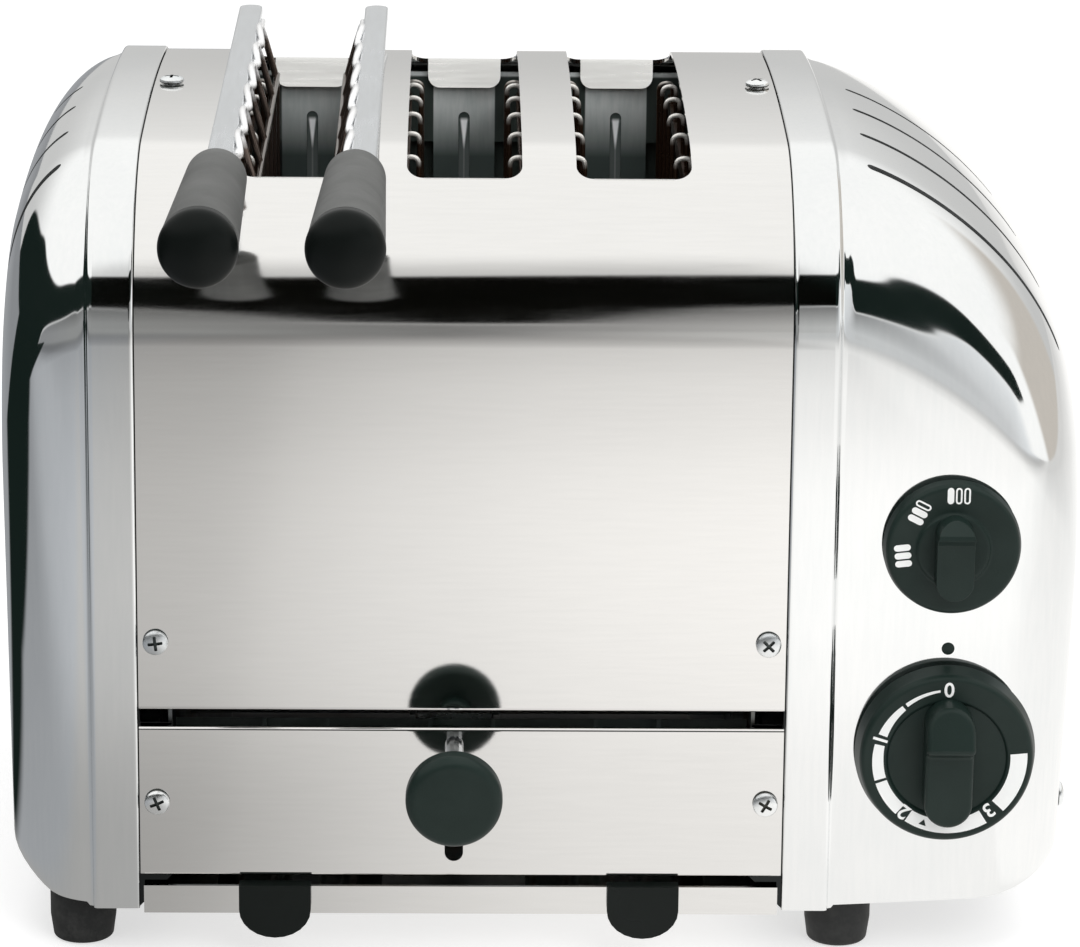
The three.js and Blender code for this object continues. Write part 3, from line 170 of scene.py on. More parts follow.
class Finish(Tree):
    """The tree of a new material, with its noises and bumps placed on the object."""

    def __init__(self, name):
        self.material = bpy.data.materials.new(name)
        self.material.use_nodes = True
        super().__init__(self.material.node_tree)
        self.shader = self.tree.nodes["Principled BSDF"]
        self.where = self.place()

    def noise(self, scale, detail, rough, stretch=None):
        where = self.where
        if stretch:
            where = self.node("ShaderNodeMapping", {"Vector": where, "Scale": stretch}).outputs["Vector"]
        inputs = {"Vector": where, "Scale": scale, "Detail": detail, "Roughness": rough}
        return self.node("ShaderNodeTexNoise", inputs).outputs["Fac"]

    def bump(self, height, distance, normal=None):
        inputs = {"Strength": 1.0, "Distance": distance, "Height": height}
        if normal is not None:
            inputs["Normal"] = normal
        return self.node("ShaderNodeBump", inputs).outputs["Normal"]

    def raised(self, normal, lift):
        """The shading normal turned upwards, for sheet that catches the light from above."""
        total = self.node("ShaderNodeVectorMath", {0: normal, 1: (0.0, 0.0, lift)}, operation="ADD")
        return self.node("ShaderNodeVectorMath", {0: total.outputs[0]}, operation="NORMALIZE").outputs[0]

    def slot_reach(self):
        """The distance across from the middle of the nearest slot."""
        return self.math("PINGPONG", self.math("SUBTRACT", self.split(self.where)[0], SHIFT.x), SLOT_PITCH * MM / 2)

    def done(self, colour, roughness, normal, metallic=0.0):
        inputs = {"Base Color": colour, "Roughness": roughness, "Normal": normal, "Metallic": metallic}
        for key, value in inputs.items():
            self.put(self.shader.inputs[key], value)
        return self.material


def rgb(r, g, b, factor=1.0):
    return (r * factor, g * factor, b * factor, 1.0)


# -------- materials
# where a look changes, in metres: across from the middle or from a slot's middle, and by height; these bound painted
# shade, a painted highlight and the wires' dark of baked stain and painted shade
COVER_GAP_SHADE = 0.08712, 0.08704
PLATE_FOOT_SHADE, STRIP_SHADE_EDGE, STRIP_SHADE_TOP = (0.1985, 0.1815), (0.0089, 0.0093), (0.2062, 0.2054)
HIGHLIGHT_EDGE, HIGHLIGHT_TAPER, HIGHLIGHT_TOP = (0.0012, 0.0002), (0.1925, 0.1835), (0.1935, 0.1920)
GUARD_FADE, GUARD_SAG, CAGE_FADE = (0.2114, 0.2085), 0.7, (0.2208, 0.2175)


def polished_steel(name, colour, roughness, wave, grain, lift=0.0):
    """Bright sheet: a fine rolled grain, faint smears and a very slight ripple; lift turns its shading upwards."""
    t = Finish(name)
    streaks, smears = t.noise(60.0, 3.0, 0.6, grain), t.noise(14.0, 4.0, 0.6)
    tone = t.line(t.math("ADD", streaks, smears), 0.7, 1.4)
    rough = t.line(t.product(streaks, smears), 0.12, 0.4, roughness * 0.75, roughness * 1.45)
    soft = t.bump(t.noise(9.0, 1.0, 0.3), wave)
    if lift:
        soft = t.raised(soft, lift)
    fine = t.bump(t.noise(900.0, 2.0, 0.6, grain), 0.0000012, soft)
    return t.done(t.mix(tone, rgb(*colour, 0.955), rgb(*colour)), rough, fine, 1.0)


def cast_metal(name):
    """Polished die casting: a soft orange-peel ripple and faint buffing lines, and painted shade, near black, in the
    gap beside the cover.
    """
    t = Finish(name)
    clouds, lines = t.noise(22.0, 4.0, 0.55), t.noise(120.0, 2.0, 0.5, (6.0, 6.0, 0.6))
    tone = t.line(t.math("ADD", clouds, t.product(lines, 0.4)), 0.45, 0.95)
    reach = t.math("ABSOLUTE", t.math("SUBTRACT", t.split(t.where)[0], SHIFT.x))
    polish = t.mix(tone, rgb(0.86, 0.875, 0.88), rgb(0.93, 0.935, 0.935))
    # painted shade: near black where the flange shows through the gap beside the cover
    colour = t.mix(t.step(reach, *COVER_GAP_SHADE), polish, rgb(0.03, 0.033, 0.033))
    slow = t.bump(t.noise(12.0, 1.0, 0.3), 0.00012)
    peel = t.bump(t.noise(55.0, 2.0, 0.4), 0.000012, slow)
    return t.done(colour, t.line(clouds, 0.3, 0.75, 0.035, 0.09), peel, 1.0)


def raw_casting(name):
    """The inside of a casting as it leaves the mould: dull, grey and grainy."""
    t = Finish(name)
    grain, clouds = t.noise(600.0, 4.0, 0.65), t.line(t.noise(35.0, 3.0, 0.5), 0.35, 0.7)
    colour = t.mix(clouds, rgb(0.10, 0.105, 0.105), rgb(0.17, 0.175, 0.175))
    return t.done(colour, t.line(grain, 0.3, 0.7, 0.5, 0.75), t.bump(grain, 0.00004), 0.7)


def plain_steel(name, colour, heat):
    """Dull inner sheet with a rolled grain and, near the elements, the brown and blue of heat."""
    t = Finish(name)
    grain, blot = t.noise(80.0, 3.0, 0.65, (1.0, 1.0, 14.0)), t.noise(30.0, 5.0, 0.6)
    base = t.mix(t.line(grain, 0.3, 0.7), rgb(*colour, 0.72), rgb(*colour))
    stain = t.ramp(t.line(blot, 0.35, 0.7), [
        (0.0, rgb(0.20, 0.23, 0.25)), (0.45, rgb(0.33, 0.34, 0.33)),
        (0.75, rgb(0.36, 0.28, 0.19)), (1.0, rgb(0.15, 0.13, 0.13)),
    ])
    return t.done(t.mix(heat, base, stain), t.line(blot, 0.3, 0.7, 0.28, 0.5), t.bump(grain, 0.00001), 1.0)


def plastic(name, colour, roughness, grain_size, grain_depth, wear=0.0, shine=0.5):
    """Moulded plastic with a fine spark-eroded grain and slightly shinier, paler rubbed areas."""
    t = Finish(name)
    blot = t.noise(45.0, 3.0, 0.6)
    pale = rgb(*[min(1.0, c * 1.5 + 0.01) for c in colour])
    mixed = t.mix(t.line(blot, 0.35, 0.8, 0.0, 0.35 + wear), rgb(*colour), pale)
    t.shader.inputs["Specular IOR Level"].default_value = shine
    rough = t.line(blot, 0.3, 0.75, roughness * 1.1, roughness * 0.82)
    return t.done(mixed, rough, t.bump(t.noise(grain_size, 2.0, 0.6), grain_depth))


def rubber_material(name):
    """Black rubber, matt and dusty."""
    t = Finish(name)
    dust = t.noise(160.0, 4.0, 0.7)
    colour = t.mix(t.line(dust, 0.45, 0.8), rgb(0.012, 0.013, 0.013), rgb(0.05, 0.05, 0.048))
    return t.done(colour, t.line(dust, 0.3, 0.7, 0.55, 0.8), t.bump(t.noise(1400.0, 2.0, 0.6), 0.00003))


def wire_material(name, bright, stain_and_shade, rough, fade=None, fade_sag=0.0):
    """Drawn wire, bright where rubbed and brown where baked, in patches; given fade, it turns dark brown below a
    height, baked stain and painted shade in one; fade holds the heights where that starts and ends.
    """
    t = Finish(name)
    blot = t.noise(70.0, 4.0, 0.6)
    tone, metallic = t.line(blot, 0.4, 0.68), 1.0
    if fade:
        x, y, z = t.split(t.where)
        back = t.math("SUBTRACT", y, SHIFT.y + BODY_HALF * MM)
        # painted shade mixed with baked stain: dark below the fade heights, which sit lower towards the front and
        # rear by fade_sag
        depth = t.line(t.math("ADD", z, t.product(back, back, fade_sag)), *fade)
        tone = t.math("MULTIPLY_ADD", tone, 0.15, depth, clamp=True)
        metallic = t.line(depth, 0.0, 1.0, 0.35, 0.8)
    colour = t.mix(tone, rgb(*bright), rgb(*stain_and_shade))
    fine = t.bump(t.noise(1500.0, 2.0, 0.6), 0.000008)
    return t.done(colour, t.line(blot, 0.3, 0.7, rough * 0.7, rough * 1.4), fine, metallic)


def end_plate_material(name):
    """Dull blue-grey sheet, cloudy and vertically grained, pale above and dark towards its foot as painted light and
    shade, and dark in its recessed strips as painted shade.
    """
    t = Finish(name)
    z = t.split(t.where)[2]
    clouds, grain = t.noise(60.0, 5.0, 0.62), t.noise(90.0, 3.0, 0.6, (6.0, 1.0, 0.8))
    tone = t.line(t.math("ADD", clouds, grain), 0.75, 1.3)
    # the plate's tone is set pale, painted light where the slot lets light in
    plate = t.mix(tone, rgb(0.74, 0.81, 0.80), rgb(0.96, 1.0, 0.99))
    # painted shade: darker towards the plate's foot, deep in the slot
    plate = t.mix(t.line(z, *PLATE_FOOT_SHADE), plate, rgb(0.085, 0.112, 0.106))
    # painted shade in the recessed strips at both sides of each slot's middle
    strip = t.product(t.step(t.slot_reach(), *STRIP_SHADE_EDGE), t.step(z, *STRIP_SHADE_TOP))
    colour = t.mix(strip, plate, rgb(0.045, 0.06, 0.054))
    return t.done(colour, t.line(clouds, 0.3, 0.7, 0.38, 0.6), t.bump(clouds, 0.00002), 0.05)


def groove_material(name):
    """The pressed groove of an end plate: dark sides, painted shade, and a pale streak, a painted highlight, that
    tapers out downwards.
    """
    t = Finish(name)
    z = t.split(t.where)[2]
    clouds = t.noise(90.0, 4.0, 0.6)
    # painted highlight: a pale streak down the middle of each groove, tapering out downwards
    middle = t.math("SUBTRACT", t.line(t.slot_reach(), *HIGHLIGHT_EDGE), t.line(z, *HIGHLIGHT_TAPER))
    streak = t.product(t.step(middle, -0.1, 0.5), t.step(z, *HIGHLIGHT_TOP))
    # painted shade on the groove's dark sides
    tone = t.mix(t.line(clouds, 0.3, 0.7), rgb(0.035, 0.05, 0.047), rgb(0.06, 0.08, 0.075))
    colour = t.mix(streak, tone, rgb(0.97, 0.99, 1.0))
    return t.done(colour, t.line(clouds, 0.3, 0.7, 0.35, 0.55), t.raised(t.bump(clouds, 0.00002), 1.1))


def element_material(name):
    """Mica board: layered, flaky brown with darker scorched bands."""
    t = Finish(name)
    flakes, scorch = t.noise(260.0, 5.0, 0.7, (1.0, 1.0, 3.0)), t.noise(24.0, 3.0, 0.5)
    colour = t.ramp(t.line(t.math("ADD", flakes, scorch), 0.7, 1.3), [
        (0.0, rgb(0.045, 0.024, 0.014)), (0.5, rgb(0.13, 0.07, 0.04)), (1.0, rgb(0.24, 0.15, 0.09)),
    ])
    return t.done(colour, t.line(flakes, 0.3, 0.7, 0.45, 0.75), t.bump(flakes, 0.00006))


CAST = cast_metal("cast_metal")
RAW_CAST = raw_casting("raw_casting")
STEEL = polished_steel("steel", (0.87, 0.86, 0.845), 0.06, 0.00002, (1.0, 14.0, 14.0))
INNER = plain_steel("inner_steel", (0.42, 0.44, 0.45), 0.35)
# the side plates' steel, painted very dark to stand in for the shade inside the body
CHAMBER_SHADED = plain_steel("chamber_steel_shaded", (0.13, 0.14, 0.14), 0.35)
# guard and cage wires turn dark brown below a height: baked stain and painted shade of the slot
GUARD = wire_material("guard_wire", (0.95, 0.93, 0.88), (0.075, 0.042, 0.026), 0.3, GUARD_FADE, GUARD_SAG)
CAGE = wire_material("cage_wire", (0.97, 0.97, 0.97), (0.15, 0.115, 0.098), 0.14, CAGE_FADE)
BAR = polished_steel("cage_bar", (0.80, 0.825, 0.85), 0.2, 0.00001, (14.0, 1.0, 14.0))
END_PLATE = end_plate_material("end_plate_steel")
TAB = polished_steel("tab_steel", (0.9, 0.895, 0.875), 0.3, 0.00001, (1.0, 14.0, 14.0), 1.1)
GROOVE = groove_material("plate_groove")
MICA = element_material("mica")
KNOB = plastic("knob_plastic", (0.0085, 0.0185, 0.0152), 0.42, 1800.0, 0.00003, 0.0, 0.26)
HANDLE = plastic("handle_plastic", (0.098, 0.1, 0.097), 0.62, 1300.0, 0.00006, 0.1, 0.3)
CAP = plastic("handle_cap", (0.0035, 0.005, 0.0045), 0.38, 1800.0, 0.00001, -0.3, 0.13)
GRIP = plastic("grip_plastic", (0.004, 0.0065, 0.0055), 0.3, 1800.0, 0.00001, -0.2, 0.2)
CASE = plastic("case_plastic", (0.02, 0.02, 0.022), 0.55, 1400.0, 0.00004)
RUBBER = rubber_material("rubber")
ZINC = wire_material("zinc", (0.96, 0.97, 0.97), (0.80, 0.83, 0.85), 0.28)
# painted shade for the screws' cross recess and the ring under their heads
RECESS_SHADE = plain_steel("screw_recess_shade", (0.05, 0.06, 0.058), 0.1)
PRINT = plastic("white_print", (0.9, 0.91, 0.895), 0.5, 2500.0, 0.000005)


def take(obj, *finishes):
    """Gives the piece its materials."""
    obj.data.materials.clear()
    for finish in finishes:
        obj.data.materials.append(finish)


def split_finish(obj, first, second, in_second):
    """Two materials on one piece; the test says which faces take the second."""
    take(obj, first, second)
    for face in obj.data.polygons:
        face.material_index = int(in_second(face))


BY_SLOT = {
    "cast_metal": CAST, "steel": STEEL, "inner_steel": INNER, "wire": GUARD, "element": MICA,
    "knob_plastic": KNOB, "handle_plastic": HANDLE, "rubber": RUBBER, "zinc": ZINC, "case_plastic": CASE,
}
BY_NAME = {"side_plate": CHAMBER_SHADED, "end_plate": END_PLATE, "tray_grip": GRIP}
slot_of = {row["node"]: row["material_slot"] for row in frame["record"]["subparts"]}
for name, obj in nodes.items():
    own = [finish for start, finish in BY_NAME.items() if name.startswith(start)]
    take(obj, own[0] if own else BY_SLOT[slot_of[name]])


# -------- outlines and paths
def arc(cx, cy, radius, start, end, steps):
    """Points of an arc between two angles in degrees."""
    turns = [radians(start + (end - start) * i / steps) for i in range(steps + 1)]
    return [(cx + radius * cos(a), cy + radius * sin(a)) for a in turns]


def quarter(steps):
    """The angles of a quarter turn, in equal steps."""
    return [pi / 2 * i / steps for i in range(steps + 1)]


def rungs(low, high, count):
    """Equal steps from low up to, but without, high."""
    return [low + (high - low) * i / count for i in range(count)]


def around(x, z, radius, turn):
    """The point at a radius and a turn, counted counter-clockwise from the top in degrees."""
    a = radians(90 + turn)
    return x + radius * cos(a), z + radius * sin(a)


def span(side, near, far, middle=0.0):
    """Two places on one side of a middle, in rising order."""
    return sorted((middle + side * near, middle + side * far))


def rounded_box(x0, x1, y0, y1, radius, steps=8):
    left, right, low, high = x0 + radius, x1 - radius, y0 + radius, y1 - radius
    corners = ((right, low, -90), (right, high, 0), (left, high, 90), (left, low, 180))
    return [point for x, y, start in corners for point in arc(x, y, radius, start, start + 90, steps)]


def eased(points, radius, steps, most=0.48):
    """A path with its corners rounded, each over no more than a share of its sides; straight ones stay."""
    path = [points[0]]
    for a, b, c in zip(points, points[1:], points[2:]):
        corner = Vector(b)
        u, v = Vector(a) - corner, Vector(c) - corner
        reach = min(radius, u.length * most, v.length * most)
        u.normalize()
        v.normalize()
        if abs(u.dot(v)) > 0.999 or reach < 0.01:
            path.append(b)
            continue
        start, end = corner + u * reach, corner + v * reach
        for k in [i / steps for i in range(steps + 1)]:
            path.append(start.lerp(corner, k).lerp(corner.lerp(end, k), k))
    return path + [points[-1]]


# -------- mesh helpers
def mesh_object(name, points, faces):
    """An object from points in shop millimetres, its faces turned to point out."""
    mesh = bpy.data.meshes.new(name)
    mesh.from_pydata([P(*point) for point in points], [], faces)
    work = bmesh.new()
    work.from_mesh(mesh)
    bmesh.ops.remove_doubles(work, verts=work.verts, dist=1e-7)
    bmesh.ops.dissolve_degenerate(work, edges=work.edges, dist=1e-8)
    bmesh.ops.recalc_face_normals(work, faces=work.faces)
    if work.calc_volume(signed=True) < 0:
        bmesh.ops.reverse_faces(work, faces=work.faces)
    work.to_mesh(mesh)
    work.free()
    return shown(name, mesh)


def strip(first, second, count):
    """The faces between two closed loops, each named by its first point."""
    return [(first + j, first + (j + 1) % count, second + (j + 1) % count, second + j) for j in range(count)]


def prism_shape(outline, start, end, axis):
    """A closed outline drawn out along an axis; it holds the other two coordinates in order."""
    order = {"x": lambda u, v, w: (w, u, v), "y": lambda u, v, w: (u, w, v), "z": lambda u, v, w: (u, v, w)}[axis]
    count = len(outline)
    points = [order(u, v, w) for w in (start, end) for u, v in outline]
    return points, strip(0, count, count) + [tuple(range(count)), tuple(range(count, 2 * count))]


def prism(name, outline, start, end, axis="x"):
    return mesh_object(name, *prism_shape(outline, start, end, axis))


def bore(radius, start, end, across, up, axis, steps=32):
    """A round tool for holes."""
    return prism("hole", arc(across, up, radius, 0, 360 * (steps - 1) / steps, steps - 1), start, end, axis)


def lathe(name, profile, x, y, z, steps=96, face="front"):
    """A piece turned about an axis, drawn as radius and height along the way that it faces."""
    points = []
    for r, h in profile:
        for i in range(steps):
            a = 2 * pi * i / steps
            u, v = r * cos(a), r * sin(a)
            points.append({
                "front": (x + u, y - h, z + v), "rear": (x + u, y + h, z + v), "up": (x + u, y + v, z + h),
            }[face])
    faces = [face for j in range(len(profile) - 1) for face in strip(j * steps, (j + 1) * steps, steps)]
    return mesh_object(name, points, faces)


def turned(name, profile, radius, x, y, z, steps, face="front"):
    """A turned piece with eased corners."""
    return smooth(lathe(name, eased(profile, radius, 3, 0.45), x, y, z, steps, face), 40)


def drop(obj):
    data = obj.data
    bpy.data.objects.remove(obj)
    bpy.data.meshes.remove(data)


def stand(obj, place, way, spin=0.0):
    """Moves a piece drawn upright at the shop's origin to a place, along a direction and spun by some degrees."""
    turn = Vector((0, 0, 1)).rotation_difference(way).to_matrix().to_4x4()
    spun = Matrix.Rotation(radians(spin), 4, "Z") @ Matrix.Translation(-P(0, 0, 0))
    obj.data.transform(Matrix.Translation(place) @ turn @ spun)


def applied(obj):
    """The object's mesh with its modifiers applied."""
    return bpy.data.meshes.new_from_object(obj.evaluated_get(bpy.context.evaluated_depsgraph_get()))


def carve(obj, operation, tools):
    """Applies booleans with other objects, which are used up."""
    for tool in tools:
        modifier = obj.modifiers.new("carve", "BOOLEAN")
        modifier.operation = operation
        modifier.object = tool
        modifier.solver = "MANIFOLD"
    old, result = obj.data, applied(obj)
    obj.modifiers.clear()
    obj.data = result
    result.name = old.name
    bpy.data.meshes.remove(old)
    for tool in tools:
        drop(tool)


def shade_by_angle(mesh, angle):
    """Smooths all but the sharp edges and gives the corners' normals."""
    mesh.polygons.foreach_set("use_smooth", [True] * len(mesh.polygons))
    mesh.set_sharp_from_angle(angle=radians(angle))
    mesh.update()
    return [normal.vector.copy() for normal in mesh.corner_normals]


class Skin:
    """The smooth normals of an uncut surface, for the pieces that are cut from it."""

    def __init__(self, obj):
        mesh = obj.data
        corner = shade_by_angle(mesh, 35)
        self.points = [v.co.copy() for v in mesh.vertices]
        self.faces = [tuple(f.vertices) for f in mesh.polygons]
        self.normals = [[corner[k] for k in f.loop_indices] for f in mesh.polygons]
        self.tree = BVHTree.FromPolygons(self.points, self.faces)

    def normal(self, point, facing):
        for hit, face_normal, index, distance in self.tree.find_nearest_range(point, 0.00004):
            if facing.dot(face_normal) > 0.9:
                weights = poly_3d_calc([self.points[k] for k in self.faces[index]], hit)
                total = Vector()
                for normal, weight in zip(self.normals[index], weights):
                    total += normal * weight
                return total.normalized()
        return None


def smooth_by(obj, skin, angle):
    """Smooth shading where the piece keeps the skin's surface, and by angle elsewhere."""
    mesh = obj.data
    corner = shade_by_angle(mesh, angle)
    made = []
    for face in mesh.polygons:
        facing = face.normal
        for loop in face.loop_indices:
            point = mesh.vertices[mesh.loops[loop].vertex_index].co
            made.append(skin.normal(point, facing) or corner[loop])
    mesh.normals_split_custom_set(made)


def smooth(obj, angle=35.0, weighted=True):
    shade_by_angle(obj.data, angle)
    if weighted:
        modifier = obj.modifiers.new("weighted", "WEIGHTED_NORMAL")
        modifier.keep_sharp = True
        modifier.weight = 80
    return obj


def bevel(obj, width, segments, angle):
    modifier = obj.modifiers.new("edges", "BEVEL")
    modifier.width = width * MM
    modifier.segments = segments
    modifier.limit_method = "ANGLE"
    modifier.angle_limit = radians(angle)


def joined(name, *parts):
    """One object from several, their modifiers applied."""
    work = bmesh.new()
    for part in parts:
        shape = applied(part)
        work.from_mesh(shape)
        bpy.data.meshes.remove(shape)
    mesh = bpy.data.meshes.new(name)
    work.to_mesh(mesh)
    work.free()
    for part in parts:
        drop(part)
    return smooth(shown(name, mesh), 40)


def dress(obj, body, slot, finish, *replaced):
    """Rides a finished piece on its CAD body in place of the named nodes."""
    if finish:
        take(obj, finish)
    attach(obj, body)
    if replaced:
        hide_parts(*replaced)


# -------- body section
DOME_STEPS = SHOULDER_STEPS, CROWN_STEPS, WALL_STEPS = 36, 14, 12
DOME_STATIONS = 56
SHEET = 1.0
COVER_HALF, COVER_FOOT = 86.7, 70.1
PANEL_TOP, PANEL_FOOT = 65.5, 23.1
BAND_START, DOME_START = 87.0, 99.5
BAND_PROUD, BAND_FOOT, DOME_STEP, DOME_WALL = 0.8, 13.8, 1.5, 3.0


def section(half, top, shoulder, crown, feet, steps=SHOULDER_STEPS, crown_steps=CROWN_STEPS):
    """The body section as (Y, Z), from the front foot over the top to the rear foot."""
    lean = asin((half - shoulder) / (crown - shoulder))
    shoulder_z = top - crown + (crown - shoulder) * cos(lean)
    front = [(-half, z) for z in feet(shoulder_z)]
    for i in range(steps + 1):
        a = pi - (pi / 2 - lean) * i / steps
        front.append((shoulder - half + shoulder * cos(a), shoulder_z + shoulder * sin(a)))
    for i in range(1, crown_steps):
        a = lean * (1 - i / crown_steps)
        front.append((-crown * sin(a), top - crown + crown * cos(a)))
    whole = front + [(0.0, top)] + [(-y, z) for y, z in reversed(front)]
    return [(y + BODY_HALF, z) for y, z in whole]


def inset_section(inset, feet):
    return section(BODY_HALF - inset, BODY_TOP - inset, SHOULDER - inset, CROWN - inset, feet)


def body_section(inset, foot, wall_steps=1):
    return inset_section(inset, lambda shoulder_z: rungs(foot, shoulder_z, wall_steps))


def roof(y, inset=0.0):
    """Height of the body's skin at a depth."""
    points = body_section(inset, 0.0)
    for (y0, z0), (y1, z1) in zip(points, points[1:]):
        if y0 <= y <= y1 and y1 > y0:
            return z0 + (z1 - z0) * (y - y0) / (y1 - y0)
    return points[0][1]


def loft(name, rings, spread=(0.02, 0.25, 0.5, 0.75, 0.98)):
    """Closes rings of equal length, each alike front and back; the last one gets a wall of finer strips."""
    count = len(rings[0])
    middle = count // 2
    last = (len(rings) - 1) * count
    points = [point for ring in rings for point in ring]
    rows = []
    for j in range(middle):
        a, b = Vector(rings[-1][j]), Vector(rings[-1][count - 1 - j])
        row = [last + j]
        for share in spread:
            row.append(len(points))
            points.append(tuple(a.lerp(b, share)))
        rows.append(row + [last + count - 1 - j])
    faces = []
    for i in range(len(rings) - 1):
        closing = i < len(rings) - 2
        faces += strip(i * count, (i + 1) * count, count)[:None if closing else -1]
    faces.append((last - 1, last - count, *rows[0]))
    for j in range(middle):
        faces.append((j, j + 1, count - 2 - j, count - 1 - j) if j < middle - 1 else (j, j + 1, j + 2))
    for lower, upper in zip(rows, rows[1:]):
        for k in range(len(lower) - 1):
            faces.append((lower[k], lower[k + 1], upper[k + 1], upper[k]))
    top = rows[-1]
    faces += [(top[k], top[k + 1], last + middle) for k in range(len(top) - 1)]
    return mesh_object(name, points, faces)


# -------- holes that the pieces share
SCREW_X, SCREW_UPPER, SCREW_LOWER, SCREW_BORE = 82, 89.4, 44.2, 2.3
SIDE_SCREW_Y, SIDE_SCREW_Z, BORE_STEPS = 30, 37, 24
HEM_STOP, HEM_STOP_END = 77.4, 90


def screw_bores(side, rows):
    """Bores through front and rear at some heights, and one in the top."""
    tools = [bore(SCREW_BORE, -4, 214, side * SCREW_X, z, "y", BORE_STEPS) for z in rows]
    return tools + [bore(SCREW_BORE, 210, 224, side * SCREW_X, BODY_HALF, "z", BORE_STEPS)]


def hem_stop(side, y, depth, z, height):
    """Cuts a hem short of the casting's flange."""
    outline = [(y, z), (y + depth, z), (y + depth, z + height), (y, z + height)]
    return prism("stop", outline, *span(side, HEM_STOP, HEM_STOP_END))


# -------- end castings
DOME_FOOT, DOME_FOOT_RISE, FOOT_ROUND, DOME_CORNER, DOME_CROWN = 14.6, 3.1, 11.0, 22.0, 420.0
FLANGE_START, FLANGE_INSET, FLANGE_WALL = 78.0, 1.3, 2.5
EDGE_ROUND, STEP_ROUND, STEP_HOLLOW = 0.6, 1.2, 1.1
RIGHT_DOME = {
    "side": 1, "reach": 167.6, "side_height": 137.4, "rise": 1.395, "fall": 2.185, "taper": 0.071,
    "vents": (0.91, 0.87, 0.815, 0.755),
}
LEFT_DOME = {
    "side": -1, "reach": 124.3, "side_height": 166.0, "rise": 1.75, "fall": 3.2, "taper": 0.08,
    "vents": (0.93, 0.86, 0.78, 0.68),
}
DIAL_X, DIAL_Z, DIAL_Y, DIAL_RISE = 130.1, 59.7, 0.7, 8.3
SELECTOR_X, SELECTOR_Z, SELECTOR_RISE = 130.3, 117.3, 5.0
CORD_X, CORD_Z, CORD_BORE, SHAFT_BORE = 130, 46, 6.8, 5.0
VENT_FIRST, VENT_PITCH, VENT_WIDTH, VENT_START, VENT_FLOOR = 37.0, 28.0, 2.8, 8.5, 150.0
FOOT_X, FOOT_Y, FOOT_WELL, WELL_TOP = 103.5, (16, 194), 9.6, 22.8


def dome_ring(dome, share, inset=0.0, foot_round=FOOT_ROUND, lower=0.0, steps=DOME_STEPS):
    """The dome's section at a share of its reach; an inner one starts lower, to cut the casting open below."""
    reach, side_height = dome["reach"], dome["side_height"]
    x = DOME_START + (reach - inset - DOME_START) * share
    shoulder_top = BODY_TOP - DOME_STEP - side_height
    top = side_height + shoulder_top * max(0.0, 1 - share ** dome["rise"]) ** (1 / dome["fall"]) - inset
    corner = DOME_CORNER - inset
    past = max(0.0, corner - (reach - inset - x))
    corner_inset = corner - sqrt(max(0.0, corner * corner - past * past))
    bend = 1 / CROWN + share * (1 / DOME_CROWN - 1 / CROWN)
    foot = DOME_FOOT + DOME_FOOT_RISE * share
    round_top = foot + FOOT_ROUND

    def feet(shoulder_z):
        turn = [round_top - foot_round * cos(a) for a in quarter(8)[:-1]]
        return ([foot - lower] if lower else []) + turn + rungs(round_top, shoulder_z, steps[2])

    half = BODY_HALF - DOME_STEP - inset - corner_inset
    ring = []
    for y, z in section(half, top, SHOULDER - inset, 1 / bend - inset, feet, *steps[:2]):
        lean = dome["taper"] * max(0.0, (side_height - z) / side_height)
        below = min(max(round_top - z, 0.0), foot_round)
        under = foot_round - sqrt(foot_round ** 2 - below ** 2)
        ring.append((dome["side"] * (DOME_START + (x - DOME_START) * (1 - lean) - under * share ** 3), y, z))
    return ring


def band_ring(dome, x, inset):
    """The section of the flange and of the proud band."""
    foot = PANEL_FOOT if x < BAND_START else BAND_FOOT
    round_top = DOME_FOOT + FOOT_ROUND
    outline = inset_section(
        inset, lambda shoulder_z: rungs(foot, round_top, 8) + rungs(round_top, shoulder_z, WALL_STEPS),
    )
    return [(dome["side"] * x, y, z) for y, z in outline]


def casting_skin(dome):
    """The casting's outside in one loft: flange, proud band with rounded edges, step and dome."""
    step_x = DOME_START - STEP_ROUND
    profile = [(FLANGE_START, FLANGE_INSET), (BAND_START, FLANGE_INSET), (BAND_START, EDGE_ROUND - BAND_PROUD)]
    profile += arc(BAND_START + EDGE_ROUND, EDGE_ROUND - BAND_PROUD, EDGE_ROUND, 202.5, 270, 3)
    profile += [(BAND_START + 2 * EDGE_ROUND, -BAND_PROUD), (step_x - EDGE_ROUND, -BAND_PROUD)]
    profile += arc(step_x, STEP_ROUND - BAND_PROUD, STEP_ROUND, -90, 0, 6)
    profile += arc(DOME_START + STEP_HOLLOW, DOME_STEP - STEP_HOLLOW, STEP_HOLLOW, 162, 90, 4)
    rings = [band_ring(dome, x, inset) for x, inset in profile]
    past_step = (STEP_HOLLOW + 0.6) / (dome["reach"] - DOME_START)
    rings += [dome_ring(dome, sin(a)) for a in quarter(DOME_STATIONS) if sin(a) >= past_step]
    return loft("skin", rings)


